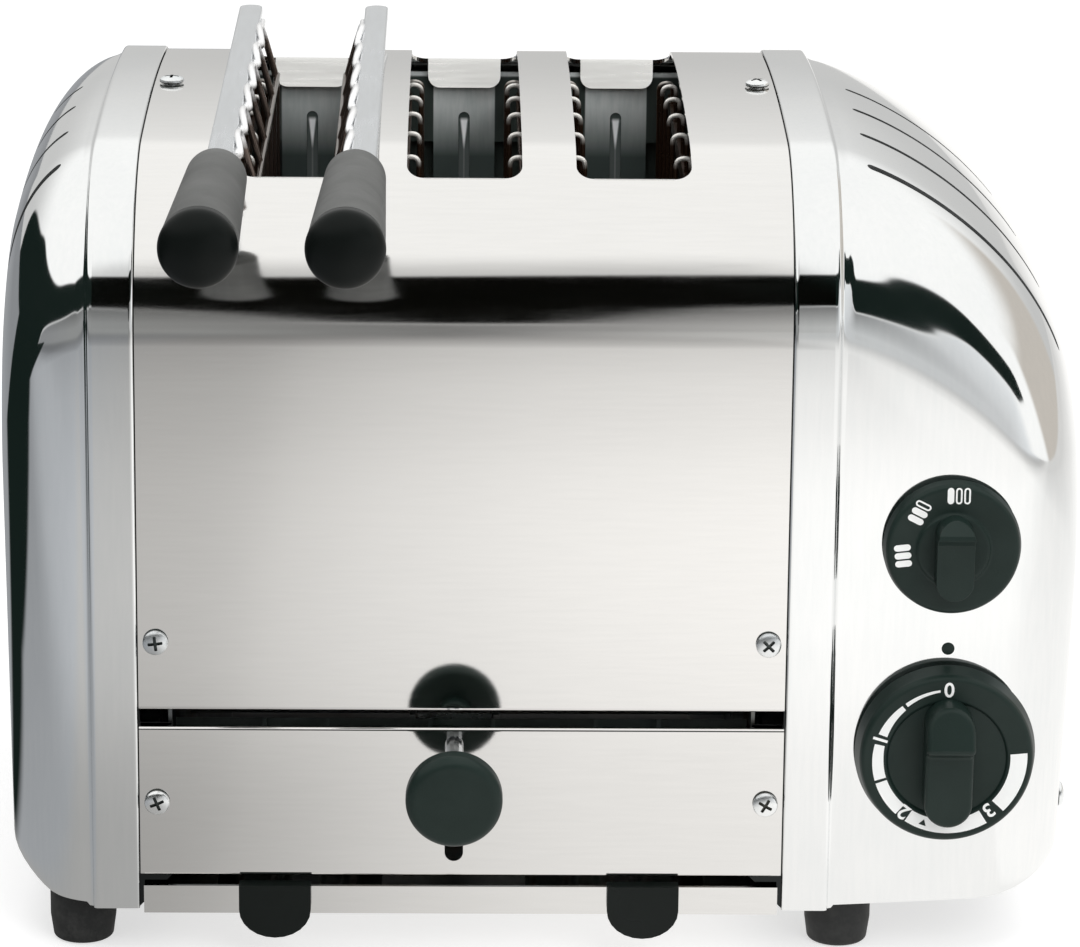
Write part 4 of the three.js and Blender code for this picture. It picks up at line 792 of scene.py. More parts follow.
def casting_tools(dome):
    """What is cut out of the casting: its inside, the vents and the holes."""
    side, dome_depth = dome["side"], dome["reach"] - DOME_START
    inner_round = FOOT_ROUND - DOME_WALL + SHEET
    inner = [dome_ring(dome, sin(a), DOME_WALL, inner_round, 4.0, (12, 4, 2)) for a in quarter(20)]
    hollow = body_section(FLANGE_INSET + FLANGE_WALL, -4.0)
    tools = [loft("inside", inner), prism("hollow", hollow, *span(side, FLANGE_START - 4, DOME_START + SHEET))]
    for i, share in enumerate(dome["vents"]):
        y, r = VENT_FIRST + i * VENT_PITCH, VENT_WIDTH / 2
        x0, x1 = span(side, DOME_START + VENT_START + r, DOME_START + dome_depth * share - r)
        outline = arc(x1, y, r, -90, 90, 12) + arc(x0, y, r, 90, 270, 12)
        tools.append(prism("vent", outline, VENT_FLOOR, BODY_TOP + 4, "z"))
    tools += screw_bores(side, (SCREW_UPPER, SCREW_LOWER))
    tools += [bore(FOOT_WELL, -4, WELL_TOP, side * FOOT_X, y, "z", 48) for y in FOOT_Y]
    gap = rounded_box(*span(side, FLANGE_START - 2, BAND_START - 0.3), PANEL_TOP, COVER_FOOT, 0.3, 2)
    tools += [prism("gap", gap, y - 1.0, y + 5.6, "y") for y in (0.0, 205.4)]
    if side > 0:
        tools += [bore(SHAFT_BORE, -4, 10, x, z, "y") for x, z in ((DIAL_X, DIAL_Z), (SELECTOR_X, SELECTOR_Z))]
        tools.append(bore(CORD_BORE, 200, 214, CORD_X, CORD_Z, "y"))
        tools.append(bore(SCREW_BORE, 150, 175, SIDE_SCREW_Y, SIDE_SCREW_Z, "x", BORE_STEPS))
    return tools


def end_casting(dome, label):
    piece = casting_skin(dome)
    piece.name = "casting_" + label
    skin = Skin(piece)
    carve(piece, "DIFFERENCE", casting_tools(dome))
    smooth_by(piece, skin, 35)
    split_finish(piece, CAST, RAW_CAST, lambda face: not skin.normal(face.center, face.normal))
    dress(piece, "chassis", "cast_metal", None, "end_casting_" + label)


end_casting(RIGHT_DOME, "right")
end_casting(LEFT_DOME, "left")

# -------- steel cover
TAB_WIDTH, TAB_DROP, TAB_ROUND, TAB_SHEET = 21.4, 8.5, 3.5, 0.6
TAB_BEND, TAB_LAP = 1.3, 0.25
FOLD_ROUND, FOLD_INSIDE = 1.1, 1.1 - SHEET


def fold(edge, up, radius, steps, start=0.0):
    """The quarter round from a sheet's front to its folded edge; up is 1 at a top edge and -1 at a foot."""
    return arc(FOLD_ROUND, edge - up * FOLD_ROUND, radius, 180 - up * start, 180 - up * 90, steps)


def folded_section(foot, hem):
    """The cover's section with its lower edges folded in over a small round."""
    outer = body_section(0.0, foot + FOLD_ROUND, 10)
    inner = body_section(SHEET, foot + FOLD_ROUND)
    front_out = [(hem, foot)] + fold(foot, -1, FOLD_ROUND, 4, 18)[::-1]
    front_in = fold(foot, -1, FOLD_INSIDE, 2, 30) + [(hem, foot + SHEET)]
    rear_out, rear_in = [[(2 * BODY_HALF - y, z) for y, z in side[::-1]] for side in (front_out, front_in)]
    return front_out + outer + rear_out + rear_in + inner[::-1] + front_in


def body_cover():
    piece = prism("steel_cover", folded_section(COVER_FOOT, 6.0), -COVER_HALF, COVER_HALF)
    uncut = prism("uncut", body_section(0.0, COVER_FOOT + FOLD_ROUND, 10), -COVER_HALF, COVER_HALF)
    skin = Skin(uncut)
    drop(uncut)
    y0, y1 = BODY_HALF - SLOT_LENGTH / 2, BODY_HALF + SLOT_LENGTH / 2
    tools = []
    for x in SLOT_X.values():
        slot = rounded_box(x - SLOT_WIDTH / 2, x + SLOT_WIDTH / 2, y0, y1, SLOT_ROUND)
        tools.append(prism("slot", slot, 66, 224, "z"))
    for side in (-1, 1):
        tools += screw_bores(side, (SCREW_UPPER,)) + [hem_stop(side, y, 5.4, 69, 3) for y in (3.4, 201.2)]
    carve(piece, "DIFFERENCE", tools)
    smooth_by(piece, skin, 40)
    return piece


dress(body_cover(), "chassis", "steel", STEEL, "body_cover")


def slot_tab(x, end, name):
    """The tab turned down at a slot's end over a bend, with rounded corners; end is 1 at the rear, -1 in front."""
    edge = SLOT_LENGTH / 2
    top = roof(BODY_HALF + edge) + 0.03
    foot = top - TAB_DROP

    def face(inset):
        bend = arc(edge, top - TAB_BEND, TAB_BEND - inset, 90, 180, 6)
        return [(edge + TAB_LAP, top - inset)] + bend + [(edge - TAB_BEND + inset, foot)]

    outline = [(BODY_HALF + end * y, z) for y, z in face(0.0) + face(TAB_SHEET)[::-1]]
    half = TAB_WIDTH / 2
    piece = prism(name, outline, x - half, x + half)
    low = foot + TAB_ROUND
    shape = [(x + half + 0.1, top + 1), (x - half - 0.1, top + 1)]
    shape += arc(x - half + TAB_ROUND, low, TAB_ROUND, 180, 270, 8)
    shape += arc(x + half - TAB_ROUND, low, TAB_ROUND, 270, 360, 8)
    carve(piece, "INTERSECT", [prism("face", shape, *span(end, edge - 4, edge + 4, BODY_HALF), "y")])
    return piece


for label, x in SLOT_X.items():
    for way, end in ((-1, "front"), (1, "rear")):
        tab = smooth(slot_tab(x, way, "tab_%s_%s" % (label, end)), 30)
        dress(tab, "chassis", "steel", TAB)

# -------- lower panels
PANEL_HEM = 8.0
EJECTOR_SLOT = (-4.5, 0.5, 27.5, 63.3, 2.5)


def lower_panel(label, front):
    """A flat panel folded back over small rounds along its top and its foot."""
    outline = fold(PANEL_FOOT, -1, FOLD_ROUND, 6)[::-1] + fold(PANEL_TOP, 1, FOLD_ROUND, 6)
    outline += [(PANEL_HEM, PANEL_TOP), (PANEL_HEM, PANEL_TOP - SHEET)]
    outline += fold(PANEL_TOP, 1, FOLD_INSIDE, 3)[::-1] + fold(PANEL_FOOT, -1, FOLD_INSIDE, 3)
    outline += [(PANEL_HEM, PANEL_FOOT + SHEET), (PANEL_HEM, PANEL_FOOT)]
    if not front:
        outline = [(2 * BODY_HALF - y, z) for y, z in outline]
    piece = prism("panel_" + label, outline, -COVER_HALF, COVER_HALF)
    bore_ends, stop_y = ((-4, 4), 3.4) if front else ((206, 214), 201.0)
    tools = []
    for side in (-1, 1):
        tools.append(bore(SCREW_BORE, *bore_ends, side * SCREW_X, SCREW_LOWER, "y", BORE_STEPS))
        tools += [hem_stop(side, stop_y, 5.6, z, 4) for z in (22.0, 63.0)]
    if front:
        tools.append(prism("slot", rounded_box(*EJECTOR_SLOT), -4, 4, "y"))
    carve(piece, "DIFFERENCE", tools)
    dress(smooth(piece, 30), "chassis", "steel", STEEL, "lower_%s_panel" % label)


lower_panel("front", True)
lower_panel("rear", False)


# -------- dial and selector
def grip_bar(name, x, z, foot, width, length, heights, crest):
    """Finger grip: a round-ended bar whose upper half is taller and slopes down from a ridge at the middle."""
    low, middle, ridge, high = heights
    half = width / 2
    outline = arc(x, z + length / 2 - half, half, 0, 180, 20) + arc(x, z - length / 2 + half, half, 180, 360, 20)
    top = DIAL_Y - foot
    bar = prism(name, outline, top - ridge - 1.0, top, "y")
    side = [
        (top + 1.0, z - length), (top - low, z - length / 2), (top - middle, z + crest - 1.8),
        (top - ridge, z + crest), (top - ridge + 0.2, z + crest + 1.2), (top - high, z + length / 2),
        (top + 1.0, z + length),
    ]
    carve(bar, "INTERSECT", [prism("side", side, x - width, x + width)])
    bevel(bar, 1.2, 4, 40)
    return smooth(bar, 50)


def dial():
    h = DIAL_RISE
    profile = [
        (3.3, 0), (23.4, 0), (24.4, 1.0), (23.4, h - 1.6), (22.9, h - 0.5), (22.2, h), (16.6, h), (16.1, h - 0.3),
        (15.9, h - 0.8), (0, h - 0.8),
    ]
    disc = turned("dial_disc", profile, 0.4, DIAL_X, DIAL_Y, DIAL_Z, 144)
    grip = grip_bar("dial_grip", DIAL_X, DIAL_Z, h - 1.0, 12.9, 34.0, (8.5, 9.5, 13.6, 9.0), 5.4)
    return joined("dial", disc, grip)


def selector():
    h = SELECTOR_RISE
    profile = [
        (3.3, 0), (17.5, 0), (18.5, 1.0), (17.9, 4.0), (17.3, 4.8), (16.6, h), (10.4, h), (9.9, 5.3), (9.6, 5.8),
        (9.0, 6.0), (0, 6.0),
    ]
    disc = turned("selector_disc", profile, 0.4, SELECTOR_X, DIAL_Y, SELECTOR_Z, 128)
    grip = grip_bar("selector_grip", SELECTOR_X, SELECTOR_Z - 1.2, 4.5, 10.0, 22.0, (7.5, 8.5, 10.5, 6.5), 6.6)
    return joined("selector", disc, grip)


dress(dial(), "timer", "knob_plastic", KNOB, "timer_knob")
dress(selector(), "selector", "knob_plastic", KNOB, "selector_knob")

# the white band of the dial: its inner and outer radius by turn, and the turns where its pieces start and end
BAND_RADII = [
    (0, 19.2, 19.7), (6, 19.1, 19.7), (37, 18.4, 19.5), (39.5, 18.0, 19.5), (70, 17.4, 19.9), (90, 17.1, 20.1),
    (140, 17.0, 20.5), (180, 17.0, 20.9), (280, 17.0, 21.6),
]
BAND_TURNS = [(7, 36.5), (39.5, 69), (77.5, 107.5), (110, 139), (148, 212), (227, 275)]
DIAL_FACE, SELECTOR_FACE = DIAL_Y - DIAL_RISE, DIAL_Y - SELECTOR_RISE
DIGITS = (("zero", "0", 0, 19.6), ("one", "1", 73, 18.9), ("two", "2", 143, 18.8), ("three", "3", 219, 18.5))
DIGIT_SIZE = 4.1 * 1.38
# the turn of each icon's place, its own turn, its distance from the centre and how many of its bars are filled
ICONS = ((-4, 0, 15.0, 1), (42, 63, 13.9, 2), (97, 96, 13.5, 3))
ICON_PITCH, ICON_LENGTH, ICON_WIDTH, ICON_STROKE = 2.2, 4.5, 1.75, 0.45


def flat_print(name, outlines, face, body):
    """White printing: thin closed shapes (X, Z) lying on a face."""
    parts = [prism(name + "_part", outline, face - 0.09, face + 0.02, "y") for outline in outlines]
    dress(joined(name, *parts), body, "knob_plastic", PRINT)


def band_radii(turn):
    for (t0, a0, b0), (t1, a1, b1) in zip(BAND_RADII, BAND_RADII[1:]):
        if turn <= t1:
            k = (turn - t0) / (t1 - t0)
            return a0 + (a1 - a0) * k, b0 + (b1 - b0) * k
    return BAND_RADII[-1][1:]


def ring_band(from_turn, to_turn, steps=24):
    """A piece of the dial's band between two turns."""
    turns = [from_turn + (to_turn - from_turn) * i / steps for i in range(steps + 1)]
    inner, outer = [[around(DIAL_X, DIAL_Z, band_radii(turn)[k], turn) for turn in turns] for k in (0, 1)]
    return inner + outer[::-1]


def digit(label, text, turn, radius):
    """A plain number from the built-in typeface, laid flat on the dial with its top away from the centre."""
    name = "dial_" + label
    curve = bpy.data.curves.new(name, "FONT")
    curve.body = text
    curve.size = DIGIT_SIZE * MM
    curve.align_x = curve.align_y = "CENTER"
    curve.offset, curve.extrude = 0.00009, 0.00005
    source = shown(name + "_source", curve)
    mesh = applied(source)
    bpy.data.objects.remove(source)
    bpy.data.curves.remove(curve)
    across, along = [[v.co[k] for v in mesh.vertices] for k in (0, 1)]
    middle = Vector((min(across) + max(across), min(along) + max(along), 0)) / 2
    x, z = around(DIAL_X, DIAL_Z, radius, turn)
    upright, spin = Matrix.Rotation(radians(90), 4, "X"), Matrix.Rotation(radians(turn), 4, "Z")
    mesh.transform(Matrix.Translation(P(x, DIAL_FACE - 0.05, z)) @ upright @ spin @ Matrix.Translation(-middle))
    dress(shown(name, mesh), "timer", "knob_plastic", PRINT)


def capsule(x, z, turn, across, filled):
    """A round-ended bar shifted across its own axis, either filled or as an outline of small pieces."""
    a = radians(turn)
    half = ICON_WIDTH / 2
    reach = ICON_LENGTH / 2 - half

    def loop(radius):
        points = arc(0, reach, radius, 0, 180, 8) + arc(0, -reach, radius, 180, 360, 8)
        return [
            (x + (u + across) * cos(a) - v * sin(a), z + (u + across) * sin(a) + v * cos(a))
            for u, v in points
        ]

    outer, inner = loop(half), loop(half - ICON_STROKE)
    if filled:
        return [outer]
    return [[outer[i - 1], outer[i], inner[i], inner[i - 1]] for i in range(len(outer))]


flat_print("dial_bands", [ring_band(*turns) for turns in BAND_TURNS], DIAL_FACE, "timer")
mark = [around(DIAL_X, DIAL_Z, radius, turn) for turn, radius in ((158.5, 19.6), (164.5, 19.6), (161.5, 17.9))]
marker = prism("dial_mark", mark, DIAL_FACE - 0.16, DIAL_FACE - 0.05, "y")
dress(smooth(marker, 40), "timer", "knob_plastic", KNOB)
for row in DIGITS:
    digit(*row)
icons = []
for place_turn, icon_turn, radius, filled in ICONS:
    centre = around(SELECTOR_X, SELECTOR_Z, radius, place_turn)
    for i in range(3):
        icons += capsule(*centre, icon_turn, (i - 1) * ICON_PITCH, i < filled)
flat_print("selector_icons", icons, SELECTOR_FACE, "selector")
dot = lathe("index_dot", [(0, 0.12), (1.5, 0.12), (1.74, 0.02), (1.74, -0.05), (0, -0.05)], 130.3, 1.5, 88.0, 48)
dress(smooth(dot, 40), "chassis", "knob_plastic", KNOB)

# -------- ejector knob
STEM_FRONT, STEM_PANEL = Vector((-2.0, -37.0, 58.3)), Vector((-2.0, 0.0, 60.4))
KNOB_RADIUS, KNOB_REAR_ROUND, KNOB_FRONT_ROUND, KNOB_RIM = 12.75, 2.2, 3.0, 5.0


def ejector_knob():
    """A round knob with a gently domed face and well-rounded edges, on a stem that leans down."""
    stem = STEM_FRONT - STEM_PANEL
    way = stem.normalized()
    rear, front, flat = KNOB_REAR_ROUND, KNOB_FRONT_ROUND, KNOB_RADIUS - KNOB_FRONT_ROUND
    profile = [(2.4, -6.0), (4.2, -6.0), (4.6, -5.6), (4.6, 0.0)]
    profile += arc(KNOB_RADIUS - rear, rear, rear, -90, 0, 6) + arc(flat, KNOB_RIM, front, 0, 90, 8)
    profile += [(flat * (1 - i / 6), KNOB_RIM + front + 0.6 * (1 - (1 - i / 6) ** 2)) for i in range(1, 7)]
    knob = lathe("knob", profile, 0, 0, 0, 96, "up")
    stand(knob, P(*(STEM_PANEL + way * (stem.length - 4.0))), way)
    return smooth(knob, 50)


dress(ejector_knob(), "ejector", "knob_plastic", KNOB, "ejector_knob")


# -------- pieces of several closed bodies
class Bodies:
    """Gathers several closed bodies into the mesh of one piece."""

    def __init__(self):
        self.points, self.faces = [], []

    def add(self, points, faces):
        base = len(self.points)
        self.points += points
        self.faces += [tuple(base + i for i in face) for face in faces]

    def wire(self, path, radius, sides=10):
        """A round wire along a path, its section carried along without twist."""
        path = [Vector(p) for p in path]
        count = len(path)
        along = [(path[min(i + 1, count - 1)] - path[max(i - 1, 0)]).normalized() for i in range(count)]
        across = along[0].orthogonal().normalized()
        turns = [2 * pi * k / sides for k in range(sides)]
        points = []
        for spot, way in zip(path, along):
            across = (across - way * across.dot(way)).normalized()
            up = way.cross(across)
            points += [tuple(spot + radius * (cos(a) * across + sin(a) * up)) for a in turns]
        faces = [tuple(range(sides)), tuple(range((count - 1) * sides, count * sides))]
        for i in range(count - 1):
            faces += strip(i * sides, (i + 1) * sides, sides)
        self.add(points, faces)

    def block(self, low, high):
        points = [(x, y, z) for x in (low[0], high[0]) for y in (low[1], high[1]) for z in (low[2], high[2])]
        self.add(points, [(0, 1, 3, 2), (4, 6, 7, 5), (0, 4, 5, 1), (2, 3, 7, 6), (0, 2, 6, 4), (1, 5, 7, 3)])

    def collar(self, x, z, start, end, inner, outer, sides=24):
        """A short tube about an axis along Y."""
        turns = [2 * pi * k / sides for k in range(sides)]
        loops = [(inner, start), (outer, start), (outer, end), (inner, end)]
        points = [(x + r * cos(a), y, z + r * sin(a)) for r, y in loops for a in turns]
        self.add(points, [face for i in range(4) for face in strip(i * sides, (i + 1) % 4 * sides, sides)])

    def make(self, name):
        return smooth(mesh_object(name, self.points, self.faces), 50)


GROOVE_HALF, GROOVE_FOOT, GROOVE_TOP, GROOVE_ROUND = 1.65, 149.1, 194.9, 1.6


def plate_grooves(name, face, back):
    """The grooves pressed in an end plate, one behind each slot, as thin pieces whose finish paints their shade and
    highlight.
    """
    made = Bodies()
    for x in SLOT_X.values():
        outline = rounded_box(x - GROOVE_HALF, x + GROOVE_HALF, GROOVE_FOOT, GROOVE_TOP, GROOVE_ROUND)
        made.add(*prism_shape(outline, face, back, "y"))
    dress(made.make(name), "chassis", "steel", GROOVE)


plate_grooves("grooves_rear", 188.35, 188.85)
plate_grooves("grooves_front", 21.65, 21.15)

# -------- bread guards
GUARD_IN, GUARD_OUT, GUARD_FOOT, GUARD_HOOK, GUARD_PITCH, GUARD_WIRE = 12.4, 16.4, 72.0, 11.0, 24.5, 0.68
GUARD_SINK = SHEET + 8.0


def wire_guard(name, centre, side):
    """Seven upright wires hooked over at the top and tied by two strips."""
    made = Bodies()
    for i in range(7):
        y = BODY_HALF + (i - 3) * GUARD_PITCH
        top = roof(y, GUARD_SINK) + 0.8
        corners = [(GUARD_IN, GUARD_FOOT), (GUARD_IN, top - 0.4), (GUARD_OUT, top), (GUARD_OUT, top - GUARD_HOOK)]
        made.wire(eased([(centre + side * u, y, z) for u, z in corners], 2.0, 6), GUARD_WIRE)
    tie = roof(BODY_HALF, GUARD_SINK) - GUARD_HOOK + 0.8
    for x, z, end in ((GUARD_OUT, tie, 22.3), (GUARD_IN, GUARD_FOOT + 2.5, 18.3)):
        x0, x1 = span(side, x - 1.0, x + 1.0, centre)
        made.block((x0, end, z - 5.0), (x1, 2 * BODY_HALF - end, z))
    return made.make(name)


for number, centre in enumerate(SLOT_X.values(), 1):
    for side, label in ((1, "right"), (-1, "left")):
        name = "guard_%d_%s" % (number, label)
        dress(wire_guard(name, centre, side), "chassis", "wire", GUARD, "wire_" + name)

# -------- sandwich cage
CAGE_X = SLOT_X["left"]
BAR_LOW, BAR_HIGH, BAR_INNER, BAR_OUTER, BAR_FRONT, BAR_REAR, BAR_ROUND = 220.3, 222.7, 15.4, 22.2, -46.0, 211.0, 3.3
CAGE_HINGE_Z, GRID_REACH, GRID_TOP, GRID_PITCH, GRID_WIRE = 104.0, 10.2, 213.0, 30.0, 0.95
# where each grip's axis starts at its neck, and how far it has moved across at its tip
GRIP_PLACE = {-1: (-63.7, -20.0, 221.0), 1: (-28.1, -20.0, 221.0)}
GRIP_LEAN, GRIP_REACH = -0.9, 86.0


def cage_bar(name, side):
    """A flat bar with round ends and softened edges."""
    outline = rounded_box(*span(side, BAR_INNER, BAR_OUTER, CAGE_X), BAR_FRONT, BAR_REAR, BAR_ROUND, 10)
    bar = prism(name, outline, BAR_LOW, BAR_HIGH, "z")
    bevel(bar, 0.55, 3, 40)
    return smooth(bar, 50)


def cage_grid(name, side, first):
    """The wires of one half: each rises from the hinge, links along the bar's inner edge and tucks under it."""
    made = Bodies()
    low = CAGE_HINGE_Z + GRID_REACH
    places = [GRID_PITCH * (i + 1) for i in range(6)]
    for i, y in enumerate(places):
        corners = [
            (GRID_REACH, y, low), (GRID_REACH, y, 206.0), (13.4, y, 217.5), (14.9, y - 0.5, 222.6),
            (15.1, y - 8.0, 223.2), (14.3, y - 15.0, 222.2), (13.8, y - 18.0, 219.6), (15.6, y - 18.5, 219.0),
        ]
        if i % 2 == first:
            corners.insert(0, (2.2, y, CAGE_HINGE_Z + 1.5))
        made.wire(eased([(CAGE_X + side * u, v, z) for u, v, z in corners], 3.0, 4), GRID_WIRE)
    edge = CAGE_X + side * 14.9
    made.wire([(edge, 8.0, 220.4), (edge, 196.0, 220.4)], 0.9)
    x = CAGE_X + side * GRID_REACH
    for z in (low, GRID_TOP - 6.0):
        made.wire([(x, 28.0, z), (x, 182.0, z)], GRID_WIRE)
    for y in places[first::2]:
        made.collar(CAGE_X, CAGE_HINGE_Z, y - 6.0, y + 6.0, 1.7, 3.0)
    return made.make(name)


def cage_grip(name, side, profile):
    """A turned piece of a handle, leaning sideways in proportion to the distance from its neck."""
    obj = smooth(lathe(name, profile, *GRIP_PLACE[side]), 35)
    neck = P(*GRIP_PLACE[side]).y
    for vertex in obj.data.vertices:
        vertex.co.x += GRIP_LEAN / GRIP_REACH * (neck - vertex.co.y)
    return obj


# the grip has a rounded back end and a groove before its cap, and the cap a domed end
GRIP_PROFILE = [(0, 0)] + arc(5.9, 2.0, 2.0, -90, 0, 6)
GRIP_PROFILE += [(9.65, 75.0), (9.55, 75.4), (8.8, 75.6), (8.8, 77.1), (0, 77.1)]
CAP_PROFILE = [(0, 76.5), (9.3, 76.5), (9.6, 76.7), (9.8, 77.2)]
CAP_PROFILE += [(9.9 * cos(a), 79.5 + 6.3 * sin(a)) for a in quarter(16)]

for side, label, body, first in ((1, "right", "cage_right", 1), (-1, "left", "cage", 0)):
    dress(cage_bar("cage_bar_" + label, side), body, "wire", BAR, "cage_half_" + label)
    dress(cage_grid("cage_grid_" + label, side, first), body, "wire", CAGE)
    grip = cage_grip("cage_grip_" + label, side, GRIP_PROFILE)
    dress(grip, body, "handle_plastic", HANDLE, "cage_handle_" + label)
    dress(cage_grip("cage_cap_" + label, side, CAP_PROFILE), body, "handle_plastic", CAP)


# -------- screws, feet and bush
def screw_template():
    """A domed head with a cross recess; inside that and under its rim it is dull and painted dark, as shade."""
    profile = [(0, -6.0), (1.8, -6.0), (1.8, 0), (3.1, 0), (3.4, 0.3)]
    profile += [(3.4 * cos(a), 0.7 + 1.2 * sin(a)) for a in quarter(10)]
    head = lathe("screw", profile, 0, 0, 0, 48, "up")
    slots = [rounded_box(-a, a, -b, b, 0.2, 2) for a, b in ((0.42, 2.0), (2.0, 0.42))]
    carve(head, "DIFFERENCE", [prism("recess", slot, 1.0, 3.0, "z") for slot in slots])

    # the faces that take the painted shade: inside the recess and under the head's rim
    def dark(face):
        place = (face.center - P(0, 0, 0)) / MM
        in_recess = place.xy.length < 2.3 and place.z > 0.95 and (face.normal.z < 0.3 or place.z < 1.05)
        return in_recess or (place.xy.length > 2.5 and place.z < 0.32)

    split_finish(head, ZINC, RECESS_SHADE, dark)
    return smooth(head, 35)


def screw_heads():
    template = screw_template()
    facing = {"front": (0, -1, 0), "rear": (0, 1, 0), "top": (0, 0, 1), "side": (1, 0, 0)}
    for i, name in enumerate(sorted(name for name in nodes if name.startswith("screw_"))):
        low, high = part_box(name)
        way = Vector(facing[name.split("_")[1]])
        reach = Vector([abs(c) for c in way]).dot(high - low) / 2 - 2.2 * MM
        obj = template.copy()
        obj.data = template.data.copy()
        obj.name = "head_" + name
        stand(obj, (low + high) / 2 + way * reach, way, 23 + 37 * i)
        scene.collection.objects.link(obj)
        dress(obj, "chassis", "zinc", None, name)
    drop(template)


def foot(name):
    low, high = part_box(name)
    x, y = [((low[i] + high[i]) / 2 - SHIFT[i]) / MM for i in (0, 1)]
    top = high.z / MM - 4.0
    profile = [(0, 0), (7.4, 0), (8.2, 0.7), (8.5, 3.0), (9.0, 6.5), (9.0, top - 0.6), (8.4, top), (0, top)]
    return turned("round_" + name, profile, 0.5, x, y, 0, 64, "up")


def cord_bush():
    profile = [
        (3.8, -9.0), (6.4, -9.0), (6.5, -0.3), (8.6, -0.3), (9.0, 0.2), (9.0, 1.6), (8.2, 2.6), (6.2, 3.0),
        (4.6, 3.0), (3.8, 2.4), (3.8, -9.0),
    ]
    return turned("bush", profile, 0.5, CORD_X, 208.5, CORD_Z, 64, "rear")


screw_heads()
for name in [name for name in nodes if name.startswith("foot_")]:
    dress(foot(name), "chassis", "rubber", RUBBER, name)
dress(cord_bush(), "chassis", "rubber", RUBBER, "cord_bush")

# the part's own solids that stay in view get softened edges
for name, obj in nodes.items():
    if not obj.hide_render:
        smooth(obj, 40, weighted=False)
        bevel(obj, 0.5 if name.startswith("tray_grip") else 0.15, 2, 50)

# -------- studio
# What the polished metal sees, by azimuth (0 in front, 90 on the right) and elevation in degrees:
# a dark band from foot to head, and below it tones that change across the azimuths from -60 to 60
ROOM_FOOT = [
    (-180, -30), (-150, -30), (-80, -30), (-66, 3), (-30, 9), (-6, 12), (-4.4, 11.5), (-2, 4.5), (0, 1.6), (2, 4.5),
    (4.4, 15.0), (6, 14.5), (15, 15), (22, 17), (30, 21), (36, 25), (44, 26.5), (49, 24.5), (56, 18), (62, 16),
    (80, 16), (180, 16),
]
ROOM_HEAD = [
    (-180, -30), (-152, -25), (-140, 8), (-120, 18), (-101, 24), (-65, 24), (-30, 29), (-5, 31), (5, 35), (27, 36),
    (48, 42), (60, 40), (67, 30), (71, 12), (80, -20), (180, -30),
]
LOW_TONE = [
    (0.0, rgb(0.26, 0.265, 0.27)), (0.4625, rgb(0.29, 0.295, 0.29)), (0.5, rgb(0.20, 0.2, 0.197)),
    (0.5375, rgb(0.54, 0.54, 0.53)), (0.58, rgb(0.60, 0.61, 0.61)), (0.7, rgb(0.63, 0.64, 0.645)),
    (0.9, rgb(0.8, 0.82, 0.83)),
]
LOW_TONE_REACH = 60.0
BLACK, DARK, DEEP_DARK = rgb(0.0, 0.0, 0.0), rgb(0.008, 0.014, 0.012), rgb(0.0015, 0.0015, 0.001)
WHITE, SKY, WALL = rgb(1.0, 1.0, 1.0), rgb(1.03, 1.03, 1.015), rgb(0.58, 0.54, 0.49)
FLOOR_WARM, FLOOR_COOL = rgb(1.0, 0.99, 0.97), rgb(0.96, 0.99, 1.03)
# how bright the floor is by X, by Y, and by Y on its right side
FLOOR_ACROSS = [
    (-0.9, 0.36), (-0.45, 0.44), (-0.2, 0.5), (-0.125, 0.54), (-0.08, 0.7), (-0.02, 0.87), (0.058, 1.0), (0.15, 1.06),
    (0.35, 1.02), (0.7, 0.85), (1.5, 0.7),
]
FLOOR_ALONG = [
    (-3.0, 0.3), (-1.6, 0.36), (-1.0, 0.52), (-0.75, 0.76), (-0.6, 0.92), (-0.5, 1.04), (-0.42, 1.07), (-0.3, 1.03),
    (-0.2, 0.95), (-0.1, 0.93), (0.2, 0.9), (1.0, 0.95),
]
FLOOR_RIGHT = [(-3.0, 0.5), (-1.3, 0.64), (-0.8, 0.82), (-0.5, 1.0), (1.0, 1.0)]
TO_DEGREES = 57.29578


def azimuth(t, x, y):
    return t.product(t.math("ARCTAN2", x, t.product(y, -1.0)), TO_DEGREES)


def low_tone(t, turn):
    return t.ramp(t.line(turn, -LOW_TONE_REACH, LOW_TONE_REACH), LOW_TONE)


def glossy_sky(t):
    """The room above the horizon, by direction."""
    x, y, z = t.split(t.place("Generated"))
    turn, rise = azimuth(t, x, y), t.product(t.math("ARCSINE", z), TO_DEGREES)
    foot, head = [t.curve(turn, points, -40.0, 50.0) for points in (ROOM_FOOT, ROOM_HEAD)]
    above = t.step(t.math("SUBTRACT", rise, foot), -0.6, 0.6)
    under = t.step(t.math("SUBTRACT", head, rise), -0.8, 0.8)
    # dimmer low behind, dimmer just over the dark band, and a beige wall low on the right
    aside = t.math("ABSOLUTE", turn)
    behind = t.product(t.step(aside, 95.0, 140.0), t.step(rise, 36.0, 2.0))
    over = t.product(t.step(aside, 5.2, 4.7), t.step(t.math("SUBTRACT", rise, head), 16.0, 1.0))
    dim = t.math("ADD", t.product(behind, 0.43), t.product(over, 0.38))
    low = t.product(t.step(t.math("SUBTRACT", foot, rise), -0.5, 1.5), t.step(turn, 62.0, 45.0))
    shade = t.product(t.line(rise, 1.0, 13.0, 0.0, 0.58), t.step(turn, 30.0, 8.0))
    base = t.mix(low, t.mix(dim, SKY, BLACK), t.mix(shade, low_tone(t, turn), BLACK))
    wall = t.product(t.step(turn, 84.0, 92.0), t.step(turn, 141.0, 137.0), t.step(rise, 34.0, 20.0))
    band = t.mix(t.step(aside, 4.7, 5.2), DEEP_DARK, DARK)
    return t.mix(t.product(above, under), t.mix(wall, base, WALL), band)


